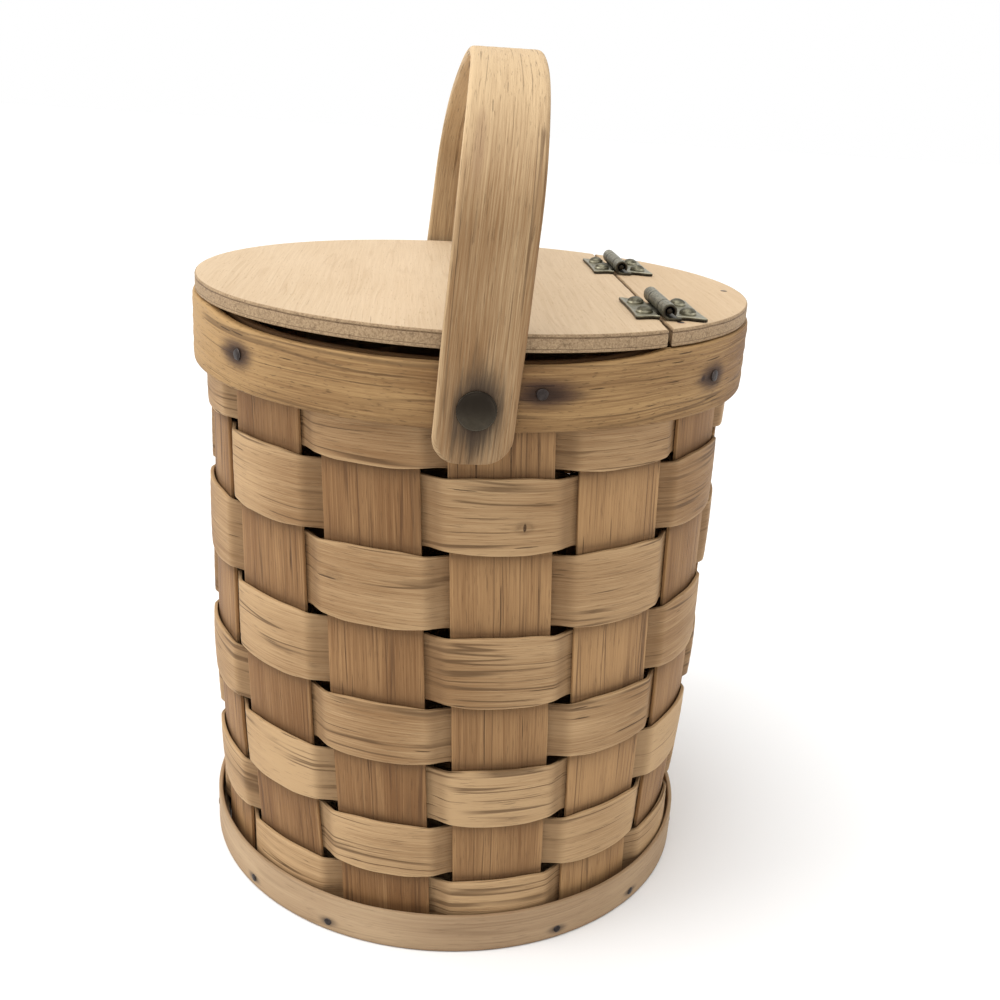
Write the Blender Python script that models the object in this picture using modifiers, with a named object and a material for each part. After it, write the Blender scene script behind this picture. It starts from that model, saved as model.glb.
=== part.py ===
# Pie basket: woven splint sides, a hinged two-part lid and a swinging bentwood handle.
# Metres, +Z up. The origin is the centre of the foot's lower edge.
# Azimuth 0 faces -Y and grows towards +X. The handle's pivot line and the hinge line are turned a little from Y.

import math

import bmesh
import bpy
import numpy as np
from mathutils import Matrix, Vector

# Clearances
seat_gap = 0.0003  # between two pieces that touch on the real basket
hole_gap = 0.0003  # round a shank in its hole
row_gap = 0.0008  # between two weavers, one above the other
swing_gap = 0.0006  # between the rim band and the handle's legs
cut_overrun = 0.002  # how far a cutter runs past the face it cuts
weld_gap = 0.00001  # points nearer than this are one

# Base and foot band
base_thickness = 0.008
base_sides_per_upright = 5
foot_height = 0.0175
foot_wall = 0.0019

# Uprights: wide splints that run from the foot to the rim
upright_count = 14
upright_width = 0.0387
upright_thickness = 0.0016
upright_foot = 0.0005
upright_below_rim = 0.0053  # from the rim's top edge down to the upright's end
upright_first_azimuth = math.radians(7.15)  # of the first upright, at the height below
upright_azimuth_height = 0.161
upright_twist = math.radians(7.35)  # how far an upright leans round the basket from top to foot
body_radius = 0.107  # middle of the splint, over the straight part of the side
foot_draw = 0.0032  # how much the side draws in from the body to the foot
taper_top = 0.107  # height at which it starts to draw in
flare_spread = 0.0028  # how far the uprights spread at the top, to lie against the rim band
flare_height = 0.0145
taper_power = 1.5

# Weavers: eight hoops that pass over and under the uprights
weave_bottom = 0.0084
weave_below_hoop = 0.001
row_level_shares = (1.0, 0.906, 0.767, 0.62, 0.479, 0.357, 0.231, 0.111, 0.0)
weaver_thickness = 0.0015
weaver_bulge = 0.0027  # from the splint's middle to the weaver's, at the upright's centre line
weaver_edge_offset = 0.002  # the same at the upright's edges
column_shares = (-1.0, -0.5, 0.0, 0.5, 1.0)  # across half an upright's width

# Rim: an outer band and an inner hoop, which clamp the tops of the uprights
rim_columns = 60
rim_top = 0.2503
rim_depth = 0.0274
rim_wall = 0.0043
hoop_depth = 0.0238
hoop_wall = 0.003
rim_dip = 0.004  # the rim's top edge sags below the lid in front and behind
rim_dip_azimuth = math.radians(-13)
rim_dip_spread = math.radians(49)
rim_dip_power = 4

# Lid: two plywood boards, one fixed and one hinged
lid_inset = 0.0012  # the rim's outside face stands this far past the lid
lid_thickness = 0.0064
lid_sides = 72
lid_fixed_reach = 0.0492  # from the middle of the slit to the fixed board's edge
lid_turn = math.radians(1.65)  # of the slit and the hinge line, away from Y
lid_slit = 0.0012

# Handle: a bent strip, one leg in front and one behind
handle_width = 0.0282
handle_thickness = 0.0038
handle_pivot_above_hoop = 0.0053  # from the hoop's lower edge
handle_tail = 0.019  # from the pivot to the leg's rounded end
handle_corner = 0.0095
handle_leg = 0.0602  # from the pivot to the start of the bow
handle_rise = 0.0541  # height of the bow's middle line above the legs
handle_front_lean = math.radians(3.5)
handle_top_lean = math.radians(6.1)  # from the pivot line to the bow's middle
handle_back_lean = math.radians(5.15)
handle_turn = math.radians(2.5)  # of the pivot line, away from Y
handle_edge_round = 0.0006
bow_steps = 22
corner_steps = 4

# Handle rivets
rivet_head_radius = 0.0075
rivet_head_height = 0.0018
rivet_shank_radius = 0.00225
rivet_sides = 16
rivet_tail_radius = 0.0034
rivet_tail_height = 0.0012
rivet_dome_shares = ((0.6, 0.8), (1, 0.25))  # of the head's radius and height
washer_radius = 0.0055
washer_thickness = 0.0008

# Hinges
hinge_front_y = -0.0597  # along the turned line
hinge_back_y = 0.0452
hinge_axis_offset = 0.0024  # from the slit's middle
hinge_length = 0.038
hinge_middle_knuckle = 0.018
knuckle_radius = 0.0027
knuckle_bite = 0.0004  # how far the barrel sinks into its leaves
knuckle_sides = 16
pin_radius = 0.0011
pin_end = 0.0005  # how far the pin shows past each end of its barrel
leaf_thickness = 0.001
leaf_flap_reach = 0.0123  # from the hinge axis to the flap leaf's outer edge
leaf_fixed_reach = 0.0142
leaf_root_width = 0.034
leaf_tip_width = 0.038
leaf_parting = 0.0006

# Domed nails in the hinge leaves
nail_spread = 0.019
nail_flap_reach = 0.0075
nail_fixed_reach = 0.0089
nail_dome_radius = 0.00325
nail_dome_height = 0.0024
nail_shank_radius = 0.0008
nail_depth = 0.005  # below the lid's top
nail_sides = 10
nail_dome_shares = ((0.5, 0.85), (0.88, 0.45))  # of the dome's radius and height

# Tacks in the rim, and brads in the fixed board
tack_sides = 6
tack_head_radius = 0.0025
tack_head_height = 0.0009
tack_shank_radius = 0.0008
rim_tack_above_hoop = 0.0103  # from the hoop's lower edge
rim_tack_reach = 0.0065  # from the splint's middle in to the tack's point
rim_tack_shares = (0.6, -0.5, 0.2, -0.3, 0.4, 0.1, -0.15)  # across half an upright's width
tack_dome_shares = (0.6, 0.85)  # of the head's radius and height
brad_head_radius = 0.0015
brad_head_height = 0.0005
brad_shank_radius = 0.0006
brad_length = 0.016
brad_past_slit = 0.0087355  # from the fixed board's edge to the two end brads, across the lid

# Derived sizes
pitch = math.tau / upright_count
foot_radius = body_radius - foot_draw
flare_radius = body_radius + flare_spread
rim_bottom = rim_top - rim_depth
hoop_bottom = rim_top - hoop_depth
weave_top = hoop_bottom - weave_below_hoop
flare_start = weave_top
flare_end = flare_start + flare_height
upright_top = rim_top - upright_below_rim
half_angle = upright_width / 2 / body_radius
row_levels = [weave_bottom + share * (weave_top - weave_bottom) for share in row_level_shares]
row_count = len(row_levels) - 1
taper_base = row_levels[row_count - 1]
rim_facet = math.tau / rim_columns
rim_middle = (flare_radius + upright_thickness / 2 + seat_gap + rim_wall / 2) / math.cos(rim_facet / 2)
rim_outside = (rim_middle + rim_wall / 2) / math.cos(rim_facet / 2)
foot_clear = foot_radius + weaver_bulge + weaver_thickness / 2 + seat_gap
foot_middle = (foot_clear + foot_wall / 2) / math.cos(rim_facet / 2)
base_radius = foot_radius * math.cos(half_angle / 4) - upright_thickness / 2 - seat_gap
lid_radius = rim_outside - lid_inset
lid_parting = lid_radius - lid_fixed_reach
lid_bottom = rim_top + seat_gap
lid_top = lid_bottom + lid_thickness
handle_inside = rim_outside + swing_gap
handle_middle = handle_inside + handle_thickness / 2
handle_outside = handle_inside + handle_thickness
handle_offset = handle_middle * math.sin(handle_turn)  # of the pivot line, away from the basket's axis
handle_place = Matrix.Rotation(handle_turn, 4, "Z") @ Matrix.Translation((-handle_offset, 0, 0))
leaf_bottom = lid_top + seat_gap
leaf_top = leaf_bottom + leaf_thickness
hinge_axis_x = lid_parting + hinge_axis_offset
hinge_axis_z = leaf_top + knuckle_radius - knuckle_bite
handle_pivot_height = hoop_bottom + handle_pivot_above_hoop
rim_tack_height = hoop_bottom + rim_tack_above_hoop


def new_collection(name):
    made = bpy.data.collections.new(name)
    bpy.context.scene.collection.children.link(made)
    return made


def new_material(name, colour, roughness, metallic):
    made = bpy.data.materials.new(name)
    made.use_nodes = True
    shader = made.node_tree.nodes["Principled BSDF"]
    shader.inputs["Base Color"].default_value = (*colour, 1)
    shader.inputs["Roughness"].default_value = roughness
    shader.inputs["Metallic"].default_value = metallic
    made.diffuse_color = (*colour, 1)
    return made


def wood(name, colour):
    return new_material(name, colour, 0.65, 0)


def bronze(name):
    return new_material(name, (0.13, 0.11, 0.08), 0.45, 0.9)


def add_piece(name, mesh, material):
    """Links a mesh into the basket's collection under the sub-part's name."""
    piece = bpy.data.objects.new(name, mesh)
    mesh.name = name
    mesh.materials.clear()
    mesh.materials.append(material)
    basket.objects.link(piece)
    return piece


def add_helper(name, mesh):
    """Links a cutter, or a shape that is joined to a piece, into the cutters' collection."""
    helper = bpy.data.objects.new(name, mesh)
    helper.hide_render = True
    helper.display_type = "WIRE"
    cutters.objects.link(helper)
    return helper


def smooth(mesh):
    mesh.shade_smooth()
    mesh.set_sharp_from_angle(angle=math.radians(35))


def grid_mesh(name, points, closed=False):
    """Faces over a grid of points with shape (rows, columns, 3). A closed grid joins its ends."""
    rows, columns = points.shape[:2]
    spans = columns if closed else columns - 1
    faces = []
    for row in range(rows - 1):
        for column in range(spans):
            after = (column + 1) % columns
            low = row * columns
            high = low + columns
            faces.append((low + column, low + after, high + after, high + column))
    mesh = bpy.data.meshes.new(name)
    mesh.from_pydata(points.reshape(-1, 3).tolist(), [], faces)
    return mesh


def thicken(piece, thickness):
    shell = piece.modifiers.new("wall", "SOLIDIFY")
    shell.thickness = thickness
    shell.offset = 0
    shell.use_even_offset = True


def combine(piece, helper, operation="DIFFERENCE"):
    change = piece.modifiers.new(helper.name, "BOOLEAN")
    change.operation = operation
    change.object = helper
    change.solver = "EXACT"


def finished_mesh(source):
    """The mesh that an object's modifiers or curve settings give. The object is removed."""
    bpy.context.view_layer.update()
    graph = bpy.context.evaluated_depsgraph_get()
    mesh = bpy.data.meshes.new_from_object(source.evaluated_get(graph))
    bpy.data.objects.remove(source)
    return mesh


def turned_mesh(profile, sides):
    """A solid of revolution about Z. The profile is (radius, height), from the top down."""
    mesh = bpy.data.meshes.new("profile")
    points = [(radius, 0, height) for radius, height in profile]
    edges = [(index, index + 1) for index in range(len(points) - 1)]
    mesh.from_pydata(points, edges, [])
    source = bpy.data.objects.new("profile", mesh)
    bpy.context.scene.collection.objects.link(source)
    screw = source.modifiers.new("turn", "SCREW")
    screw.steps = sides
    screw.render_steps = sides
    screw.use_merge_vertices = True
    screw.merge_threshold = weld_gap
    return finished_mesh(source)


def add_copies(name, mesh, places, material):
    """One object for each placing matrix, numbered and sharing a mesh."""
    pieces = []
    smooth(mesh)
    for number, place in enumerate(places):
        piece = add_piece(f"{name}_{number + 1}", mesh, material)
        piece.matrix_world = place
        pieces.append(piece)
    return pieces


def copies_mesh(mesh, places):
    """One mesh with a copy of another at each placing matrix."""
    joined = bmesh.new()
    for place in places:
        before = len(joined.verts)
        joined.from_mesh(mesh)
        joined.verts.ensure_lookup_table()
        bmesh.ops.transform(joined, matrix=place, verts=joined.verts[before:])
    result = bpy.data.meshes.new("copies")
    joined.to_mesh(result)
    joined.free()
    smooth(result)
    return result


def cylinder_mesh(radius, bottom, top, sides):
    """A cylinder about Z between two heights."""
    solid = bmesh.new()
    place = Matrix.Translation((0, 0, (bottom + top) / 2))
    bmesh.ops.create_cone(
        solid, cap_ends=True, segments=sides, radius1=radius, radius2=radius, depth=top - bottom, matrix=place
    )
    mesh = bpy.data.meshes.new("cylinder")
    solid.to_mesh(mesh)
    solid.free()
    return mesh


def box_mesh(low, high):
    """A box between two corners."""
    solid = bmesh.new()
    size = Vector(high) - Vector(low)
    middle = (Vector(high) + Vector(low)) / 2
    place = Matrix.Translation(middle) @ Matrix.Diagonal((*size, 1))
    bmesh.ops.create_cube(solid, size=1, matrix=place)
    mesh = bpy.data.meshes.new("box")
    solid.to_mesh(mesh)
    solid.free()
    return mesh


def on_wall(azimuth, radius, height):
    """A matrix that stands a piece's +Z axis out of the basket's side."""
    out = Vector((math.sin(azimuth), -math.cos(azimuth), 0))
    along = Vector((math.cos(azimuth), math.sin(azimuth), 0))
    turn = Matrix((along, Vector((0, 0, 1)), out)).transposed().to_4x4()
    return Matrix.Translation(out * radius + Vector((0, 0, height))) @ turn


def ring_points(azimuths, radii, heights):
    """Points on the basket's side, one for each azimuth, radius and height."""
    azimuths, radii, heights = np.broadcast_arrays(azimuths, radii, heights)
    return np.stack([radii * np.sin(azimuths), -radii * np.cos(azimuths), heights], axis=-1)


def upright_azimuth(index, height):
    lean = upright_twist * (upright_azimuth_height - height) / upright_top
    return index * pitch + upright_first_azimuth + lean


def splint_radius(height):
    """Radius of the splints' middle: straight above, drawn in at the foot and spread at the rim."""
    drawn_share = min(max((taper_top - height) / (taper_top - taper_base), 0), 1)
    spread_share = min(max((height - flare_start) / (flare_end - flare_start), 0), 1)
    drawn = (body_radius - foot_radius) * drawn_share**taper_power
    spread = (flare_radius - body_radius) * spread_share * spread_share * (3 - 2 * spread_share)
    return body_radius - drawn + spread


def rim_edge(azimuth):
    """Height of the rim's top edge, with its sag in front and behind."""
    height = rim_top
    for centre in (rim_dip_azimuth, math.pi - rim_dip_azimuth):
        away = abs(math.remainder(azimuth - centre, math.tau)) / rim_dip_spread
        height -= rim_dip * max(1 - away**rim_dip_power, 0)
    return height


def make_base():
    bpy.ops.mesh.primitive_cylinder_add(
        vertices=upright_count * base_sides_per_upright, radius=base_radius, depth=base_thickness, location=(0, 0, base_thickness / 2)
    )
    source = bpy.context.object
    source.data.transform(Matrix.Translation(source.location))
    mesh = source.data
    bpy.data.objects.remove(source)
    return add_piece("base_disc", mesh, wood("base_wood", (0.62, 0.46, 0.29)))


def make_band(name, wall, colour, rows):
    """A closed hoop. Each row has a radius of its middle and a height, or a function for it."""
    azimuths = np.arange(rim_columns) * rim_facet
    levels = []
    for radius, height in rows:
        heights = [height(azimuth) if callable(height) else height for azimuth in azimuths]
        levels.append(ring_points(azimuths, radius, np.array(heights)))
    mesh = grid_mesh(name, np.array(levels), closed=True)
    piece = add_piece(name, mesh, wood(name + "_wood", colour))
    thicken(piece, wall)
    return piece


def hoop_middle(height):
    """Radius of the inner hoop's middle, just inside the uprights."""
    inside = (splint_radius(height) - upright_thickness / 2) * math.cos(half_angle / 4) - seat_gap
    return inside - hoop_wall / 2 / math.cos(rim_facet / 2)


def make_upright(index):
    levels = [upright_foot, taper_base, row_levels[6], row_levels[5], taper_top]
    levels += [flare_start, (flare_start + flare_end) / 2, flare_end, upright_top]
    rows = []
    for height in levels:
        azimuths = upright_azimuth(index, height) + half_angle * np.array(column_shares)
        rows.append(ring_points(azimuths, splint_radius(height), height))
    name = f"upright_{index + 1:02d}"
    shade = 1 - 0.05 * (index % 3)
    colour = (0.60 * shade, 0.42 * shade, 0.25 * shade)
    piece = add_piece(name, grid_mesh(name, np.array(rows)), wood(name + "_wood", colour))
    thicken(piece, upright_thickness)
    return piece


def make_weaver(row):
    """A hoop that passes outside the uprights whose number has the row's parity, inside the rest."""
    top = row_levels[row - 1] - row_gap / 2
    bottom = row_levels[row] + row_gap / 2
    shares = np.array(column_shares)
    offsets = weaver_bulge - (weaver_bulge - weaver_edge_offset) * shares**2
    rows = []
    for height in (bottom, top):
        points = []
        for index in range(upright_count):
            side = 1 if (row + index) % 2 == 0 else -1
            azimuths = upright_azimuth(index, height) + half_angle * shares
            points.extend(ring_points(azimuths, splint_radius(height) + side * offsets, height))
        rows.append(points)
    name = f"weaver_{row}"
    piece = add_piece(name, grid_mesh(name, np.array(rows), closed=True), wood(name + "_wood", (0.72, 0.55, 0.36)))
    thicken(piece, weaver_thickness)
    return piece


def make_lid_board(name, low_x, high_x, colour):
    """A plywood disc, cut to the part of it between two lines across the lid."""
    mesh = cylinder_mesh(lid_radius, lid_bottom, lid_top, lid_sides)
    piece = add_piece(name, mesh, wood(name + "_wood", colour))
    reach = lid_radius + cut_overrun
    low = (low_x, -reach, lid_bottom - cut_overrun)
    high = (high_x, reach, lid_top + cut_overrun)
    combine(piece, add_helper(name + "_cutter", box_mesh(low, high)))
    return piece


def make_handle():
    """A bent strip with rounded ends, standing on the pivot and leaning, its back leg more than its front leg."""
    run = handle_tail + handle_leg
    corner = handle_corner * (1 - np.cos(np.linspace(0, math.pi / 2, corner_steps + 1)))
    rises = np.append(corner, run)
    corner_width = handle_width / 2 - handle_corner + np.sqrt(
        np.maximum(handle_corner**2 - (handle_corner - corner) ** 2, 0)
    )
    leg = np.stack([np.full(len(rises), -handle_middle), rises - handle_tail], axis=-1)
    leg_widths = np.append(corner_width, handle_width / 2)
    turn = np.linspace(0, math.pi, bow_steps + 1)[1:-1]
    bow = np.stack([-handle_middle * np.cos(turn), handle_leg + handle_rise * np.sin(turn)], axis=-1)
    path = np.concatenate([leg, bow, leg[::-1] * (-1, 1)])
    widths = np.concatenate([leg_widths, np.full(len(bow), handle_width / 2), leg_widths[::-1]])
    leans = np.tan([handle_front_lean, handle_top_lean, handle_back_lean])
    slants = np.polyval(np.polyfit([-handle_middle, 0, handle_middle], leans, 2), path[:, 0])
    shifts = path[:, 1] * slants
    rows = np.stack([np.column_stack([shifts + side * widths, path]) for side in (1, -1)], axis=1)
    mesh = grid_mesh("handle", rows)
    mesh.transform(handle_place @ Matrix.Translation((0, 0, handle_pivot_height)))
    piece = add_piece("handle", mesh, wood("handle_wood", (0.60, 0.42, 0.26)))
    thicken(piece, handle_thickness)
    edge = piece.modifiers.new("edge", "BEVEL")
    edge.width = handle_edge_round
    edge.segments = 1
    edge.limit_method = "ANGLE"
    edge.angle_limit = math.radians(50)
    return piece


def make_rivets():
    """A domed rivet and its inside washer for each leg of the handle."""
    head_seat = handle_outside + seat_gap
    hoop_face = (hoop_middle(hoop_bottom) - hoop_wall / 2) * math.cos(rim_facet / 2)
    washer_outer = math.sqrt(hoop_face**2 - (handle_offset + washer_radius) ** 2) - seat_gap
    washer_inner = washer_outer - washer_thickness
    tail_seat = washer_inner - seat_gap
    dome = [(out * rivet_head_radius, head_seat + up * rivet_head_height) for out, up in rivet_dome_shares]
    profile = [
        (0, head_seat + rivet_head_height),
        *dome,
        (rivet_head_radius, head_seat),
        (rivet_shank_radius, head_seat),
        (rivet_shank_radius, tail_seat),
        (rivet_tail_radius, tail_seat),
        (rivet_tail_radius * rivet_dome_shares[0][0], tail_seat - rivet_tail_height),
        (0, tail_seat - rivet_tail_height),
    ]
    bore = rivet_shank_radius + hole_gap
    washer_profile = [
        (washer_radius, washer_outer),
        (washer_radius, washer_inner),
        (bore, washer_inner),
        (bore, washer_outer),
        (washer_radius, washer_outer),
    ]
    rivet = turned_mesh(profile, rivet_sides)
    washer = turned_mesh(washer_profile, rivet_sides)
    for side, azimuth in (("front", 0), ("back", math.pi)):
        place = [handle_place @ on_wall(azimuth, 0, handle_pivot_height)]
        add_piece("rivet_" + side, copies_mesh(rivet, place), bronze("rivet_metal_" + side))
        add_piece("rivet_washer_" + side, copies_mesh(washer, place), bronze("washer_metal_" + side))
    hole = cylinder_mesh(bore, -handle_outside - cut_overrun, handle_outside + cut_overrun, rivet_sides)
    place = handle_place @ on_wall(0, 0, handle_pivot_height)
    return add_helper("rivet_holes", copies_mesh(hole, [place]))


def tack_profile(shank_length):
    """A flat-domed tack whose head rests at height 0."""
    out, up = tack_dome_shares
    return [
        (0, tack_head_height),
        (tack_head_radius * out, tack_head_height * up),
        (tack_head_radius, 0),
        (tack_shank_radius, 0),
        (tack_shank_radius, -shank_length + tack_shank_radius),
        (0, -shank_length),
    ]


def make_rim_tacks(azimuths):
    """Tacks driven through the rim from outside, and the cutter for their holes."""
    seat = rim_outside + seat_gap
    length = seat - flare_radius + rim_tack_reach
    places = [on_wall(azimuth, seat, rim_tack_height) for azimuth in azimuths]
    add_copies("rim_tack", turned_mesh(tack_profile(length), tack_sides), places, bronze("rim_tack_metal"))
    hole = cylinder_mesh(tack_shank_radius + hole_gap, -length - hole_gap, tack_head_height, tack_sides)
    return add_helper("rim_tack_holes", copies_mesh(hole, places))


def make_brads():
    """Small nails, set flush in the fixed board and driven into the inner hoop's top edge."""
    radius = hoop_middle(flare_end)
    profile = [
        (0, 0),
        (brad_head_radius, 0),
        (brad_head_radius, -brad_head_height),
        (brad_shank_radius, -brad_head_height),
        (brad_shank_radius, -brad_length + brad_shank_radius),
        (0, -brad_length),
    ]
    wide = brad_head_radius + hole_gap
    narrow = brad_shank_radius + hole_gap
    hole_profile = [
        (0, cut_overrun),
        (wide, cut_overrun),
        (wide, -brad_head_height - hole_gap),
        (narrow, -brad_head_height - hole_gap),
        (narrow, -brad_length - hole_gap),
        (0, -brad_length - hole_gap),
    ]
    spots = []
    end_azimuth = math.asin((lid_parting + brad_past_slit) / radius)
    for azimuth in (end_azimuth, math.pi / 2, math.pi - end_azimuth):
        spots.append(Matrix.Translation((radius * math.sin(azimuth), -radius * math.cos(azimuth), lid_top)))
    add_copies("lid_brad", turned_mesh(profile, tack_sides), spots, bronze("brad_metal"))
    return add_helper("brad_holes", copies_mesh(turned_mesh(hole_profile, tack_sides), spots))


def along_y(mesh, centre_y):
    """Lays a mesh that stands on Z along the hinge axis."""
    place = Matrix.Translation((hinge_axis_x, centre_y, hinge_axis_z)) @ Matrix.Rotation(-math.pi / 2, 4, "X")
    return copies_mesh(mesh, [place])


def leaf_plate(side, reach, centre_y):
    """A flat leaf that widens away from the barrel, as a filled outline with a thickness."""
    outline = bpy.data.curves.new("leaf", "CURVE")
    outline.dimensions = "2D"
    outline.fill_mode = "BOTH"
    outline.extrude = leaf_thickness / 2
    spline = outline.splines.new("POLY")
    root = hinge_axis_x + side * leaf_parting / 2
    tip = hinge_axis_x + side * reach
    corners = [
        (root, -leaf_root_width / 2),
        (tip, -leaf_tip_width / 2),
        (tip, leaf_tip_width / 2),
        (root, leaf_root_width / 2),
    ]
    spline.points.add(len(corners) - 1)
    for point, (x, y) in zip(spline.points, corners):
        point.co = (x, centre_y + y, 0, 1)
    spline.use_cyclic_u = True
    source = bpy.data.objects.new("leaf", outline)
    bpy.context.scene.collection.objects.link(source)
    mesh = finished_mesh(source)
    bpy.data.curves.remove(outline)
    welded = bmesh.new()
    welded.from_mesh(mesh)
    bmesh.ops.remove_doubles(welded, verts=welded.verts, dist=weld_gap)
    bmesh.ops.recalc_face_normals(welded, faces=welded.faces)
    welded.to_mesh(mesh)
    welded.free()
    mesh.transform(Matrix.Translation((0, 0, leaf_bottom + leaf_thickness / 2)))
    return mesh


def make_hinge(label, centre_y, nail_holes):
    """Two leaves, three knuckles and a pin. It returns the flap's leaf, which has the middle knuckle."""
    half = hinge_length / 2
    middle = hinge_middle_knuckle / 2
    spans = {
        "flap": [(-middle + seat_gap / 2, middle - seat_gap / 2)],
        "fixed": [(-half, -middle - seat_gap / 2), (middle + seat_gap / 2, half)],
    }
    bore = cylinder_mesh(pin_radius + hole_gap, -half - cut_overrun, half + cut_overrun, knuckle_sides)
    bore_cutter = add_helper(f"bore_{label}", along_y(bore, centre_y))
    room = knuckle_radius + seat_gap
    leaves = {}
    for kind, side, reach in (("flap", -1, leaf_flap_reach), ("fixed", 1, leaf_fixed_reach)):
        name = f"hinge_leaf_{kind}_{label}"
        leaf = add_piece(name, leaf_plate(side, reach, centre_y), bronze(name + "_metal"))
        other = "fixed" if kind == "flap" else "flap"
        for number, (low, high) in enumerate(spans[other]):
            low_corner = (hinge_axis_x - room, centre_y + low - seat_gap, leaf_bottom - cut_overrun)
            high_corner = (hinge_axis_x + room, centre_y + high + seat_gap, leaf_top + cut_overrun)
            combine(leaf, add_helper(f"{name}_notch_{number}", box_mesh(low_corner, high_corner)))
        for number, (low, high) in enumerate(spans[kind]):
            knuckle = along_y(cylinder_mesh(knuckle_radius, low, high, knuckle_sides), centre_y)
            combine(leaf, add_helper(f"{name}_knuckle_{number}", knuckle), "UNION")
        combine(leaf, bore_cutter)
        combine(leaf, nail_holes[kind])
        leaves[kind] = leaf
    pin = cylinder_mesh(pin_radius, -half - pin_end, half + pin_end, knuckle_sides)
    add_piece(f"hinge_pin_{label}", along_y(pin, centre_y), bronze(f"hinge_pin_metal_{label}"))
    return leaves["flap"]


def make_hinge_nails(name, reach):
    """Domed nails that hold one row of leaves to its board, and the cutter for their holes."""
    top = leaf_top + seat_gap
    profile = [
        (0, nail_dome_height),
        *[(out * nail_dome_radius, up * nail_dome_height) for out, up in nail_dome_shares],
        (nail_dome_radius, 0),
        (nail_shank_radius, 0),
        (nail_shank_radius, lid_top - nail_depth - top),
        (0, lid_top - nail_depth - top),
    ]
    spots = []
    for centre_y in (hinge_front_y, hinge_back_y):
        for end in (-1, 1):
            spots.append(Matrix.Translation((hinge_axis_x + reach, centre_y + end * nail_spread / 2, top)))
    nails = add_copies(name, turned_mesh(profile, nail_sides), spots, bronze(name + "_metal"))
    deep = lid_top - nail_depth - hole_gap - top
    hole = cylinder_mesh(nail_shank_radius + hole_gap, deep, nail_dome_height, tack_sides)
    return nails, add_helper(name + "_holes", copies_mesh(hole, spots))


def hang_on_axis(name, pieces):
    """An empty on the hinge axis, which carries the pieces that turn with it."""
    axis = bpy.data.objects.new(name, None)
    axis.location = (hinge_axis_x, 0, hinge_axis_z)
    basket.objects.link(axis)
    for piece in pieces:
        piece.parent = axis
        piece.matrix_parent_inverse = Matrix.Translation(axis.location).inverted()


def turn_lid_line(name, pieces):
    """An empty in the basket's middle, which turns the boards, the hinges and their cutters a little."""
    line = bpy.data.objects.new(name, None)
    line.rotation_euler = (0, 0, lid_turn)
    basket.objects.link(line)
    for piece in pieces:
        if piece.parent is None:
            piece.parent = line


def build_sides(rim_tack_holes, rivet_holes):
    make_base()
    foot_rows = [(foot_middle, 0), (foot_middle, foot_height)]
    make_band("foot_band", foot_wall, (0.66, 0.49, 0.30), foot_rows)
    rim_rows = [(rim_middle, rim_bottom), (rim_middle, rim_edge)]
    rim = make_band("rim_band_outer", rim_wall, (0.68, 0.50, 0.31), rim_rows)
    hoop_levels = (hoop_bottom, (flare_start + flare_end) / 2, flare_end)
    hoop_rows = [(hoop_middle(height), height) for height in hoop_levels]
    hoop_rows.append((hoop_middle(flare_end), rim_edge))
    hoop = make_band("rim_band_inner", hoop_wall, (0.64, 0.47, 0.29), hoop_rows)
    uprights = [make_upright(index) for index in range(upright_count)]
    for row in range(1, row_count + 1):
        make_weaver(row)
    for piece in (rim, hoop, *uprights[::2]):
        combine(piece, rim_tack_holes)
    for piece in (rim, hoop, uprights[0], uprights[upright_count // 2]):
        combine(piece, rivet_holes)
    return hoop


for old in list(bpy.data.objects):
    bpy.data.objects.remove(old)
basket = new_collection("pie_basket")
cutters = new_collection("cutters")

rim_tack_places = []
for number, share in enumerate(rim_tack_shares):
    rim_tack_places.append(upright_azimuth(2 * number, rim_tack_height) + share * half_angle)
rim_tack_holes = make_rim_tacks(rim_tack_places)
rivet_holes = make_rivets()
inner_hoop = build_sides(rim_tack_holes, rivet_holes)
handle = make_handle()
combine(handle, rivet_holes)

brad_holes = make_brads()
combine(inner_hoop, brad_holes)

unturned = set(bpy.data.objects)
edge_reach = lid_radius + cut_overrun
flap = make_lid_board("lid_flap", lid_parting - lid_slit / 2, edge_reach, (0.74, 0.58, 0.40))
fixed = make_lid_board("lid_fixed", -edge_reach, lid_parting + lid_slit / 2, (0.74, 0.58, 0.40))
flap_nails, flap_nail_holes = make_hinge_nails("flap_nail", -nail_flap_reach)
fixed_nails, fixed_nail_holes = make_hinge_nails("fixed_nail", nail_fixed_reach)
combine(flap, flap_nail_holes)
combine(fixed, fixed_nail_holes)
combine(fixed, brad_holes)
flap_pieces = [flap, *flap_nails]
nail_holes = {"flap": flap_nail_holes, "fixed": fixed_nail_holes}
for label, centre_y in (("front", hinge_front_y), ("back", hinge_back_y)):
    flap_pieces.append(make_hinge(label, centre_y, nail_holes))
hang_on_axis("flap_axis", flap_pieces)
turn_lid_line("lid_line", [piece for piece in bpy.data.objects if piece not in unturned])
print("pie basket:", len([piece for piece in basket.objects if piece.type == "MESH"]), "pieces")
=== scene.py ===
# Pie basket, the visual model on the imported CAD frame. Metres, +Z up.
# Azimuth 0 faces -Y and grows towards +X, as in the CAD part.

import math

import bpy
import numpy as np
from mathutils import Matrix, Vector


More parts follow.
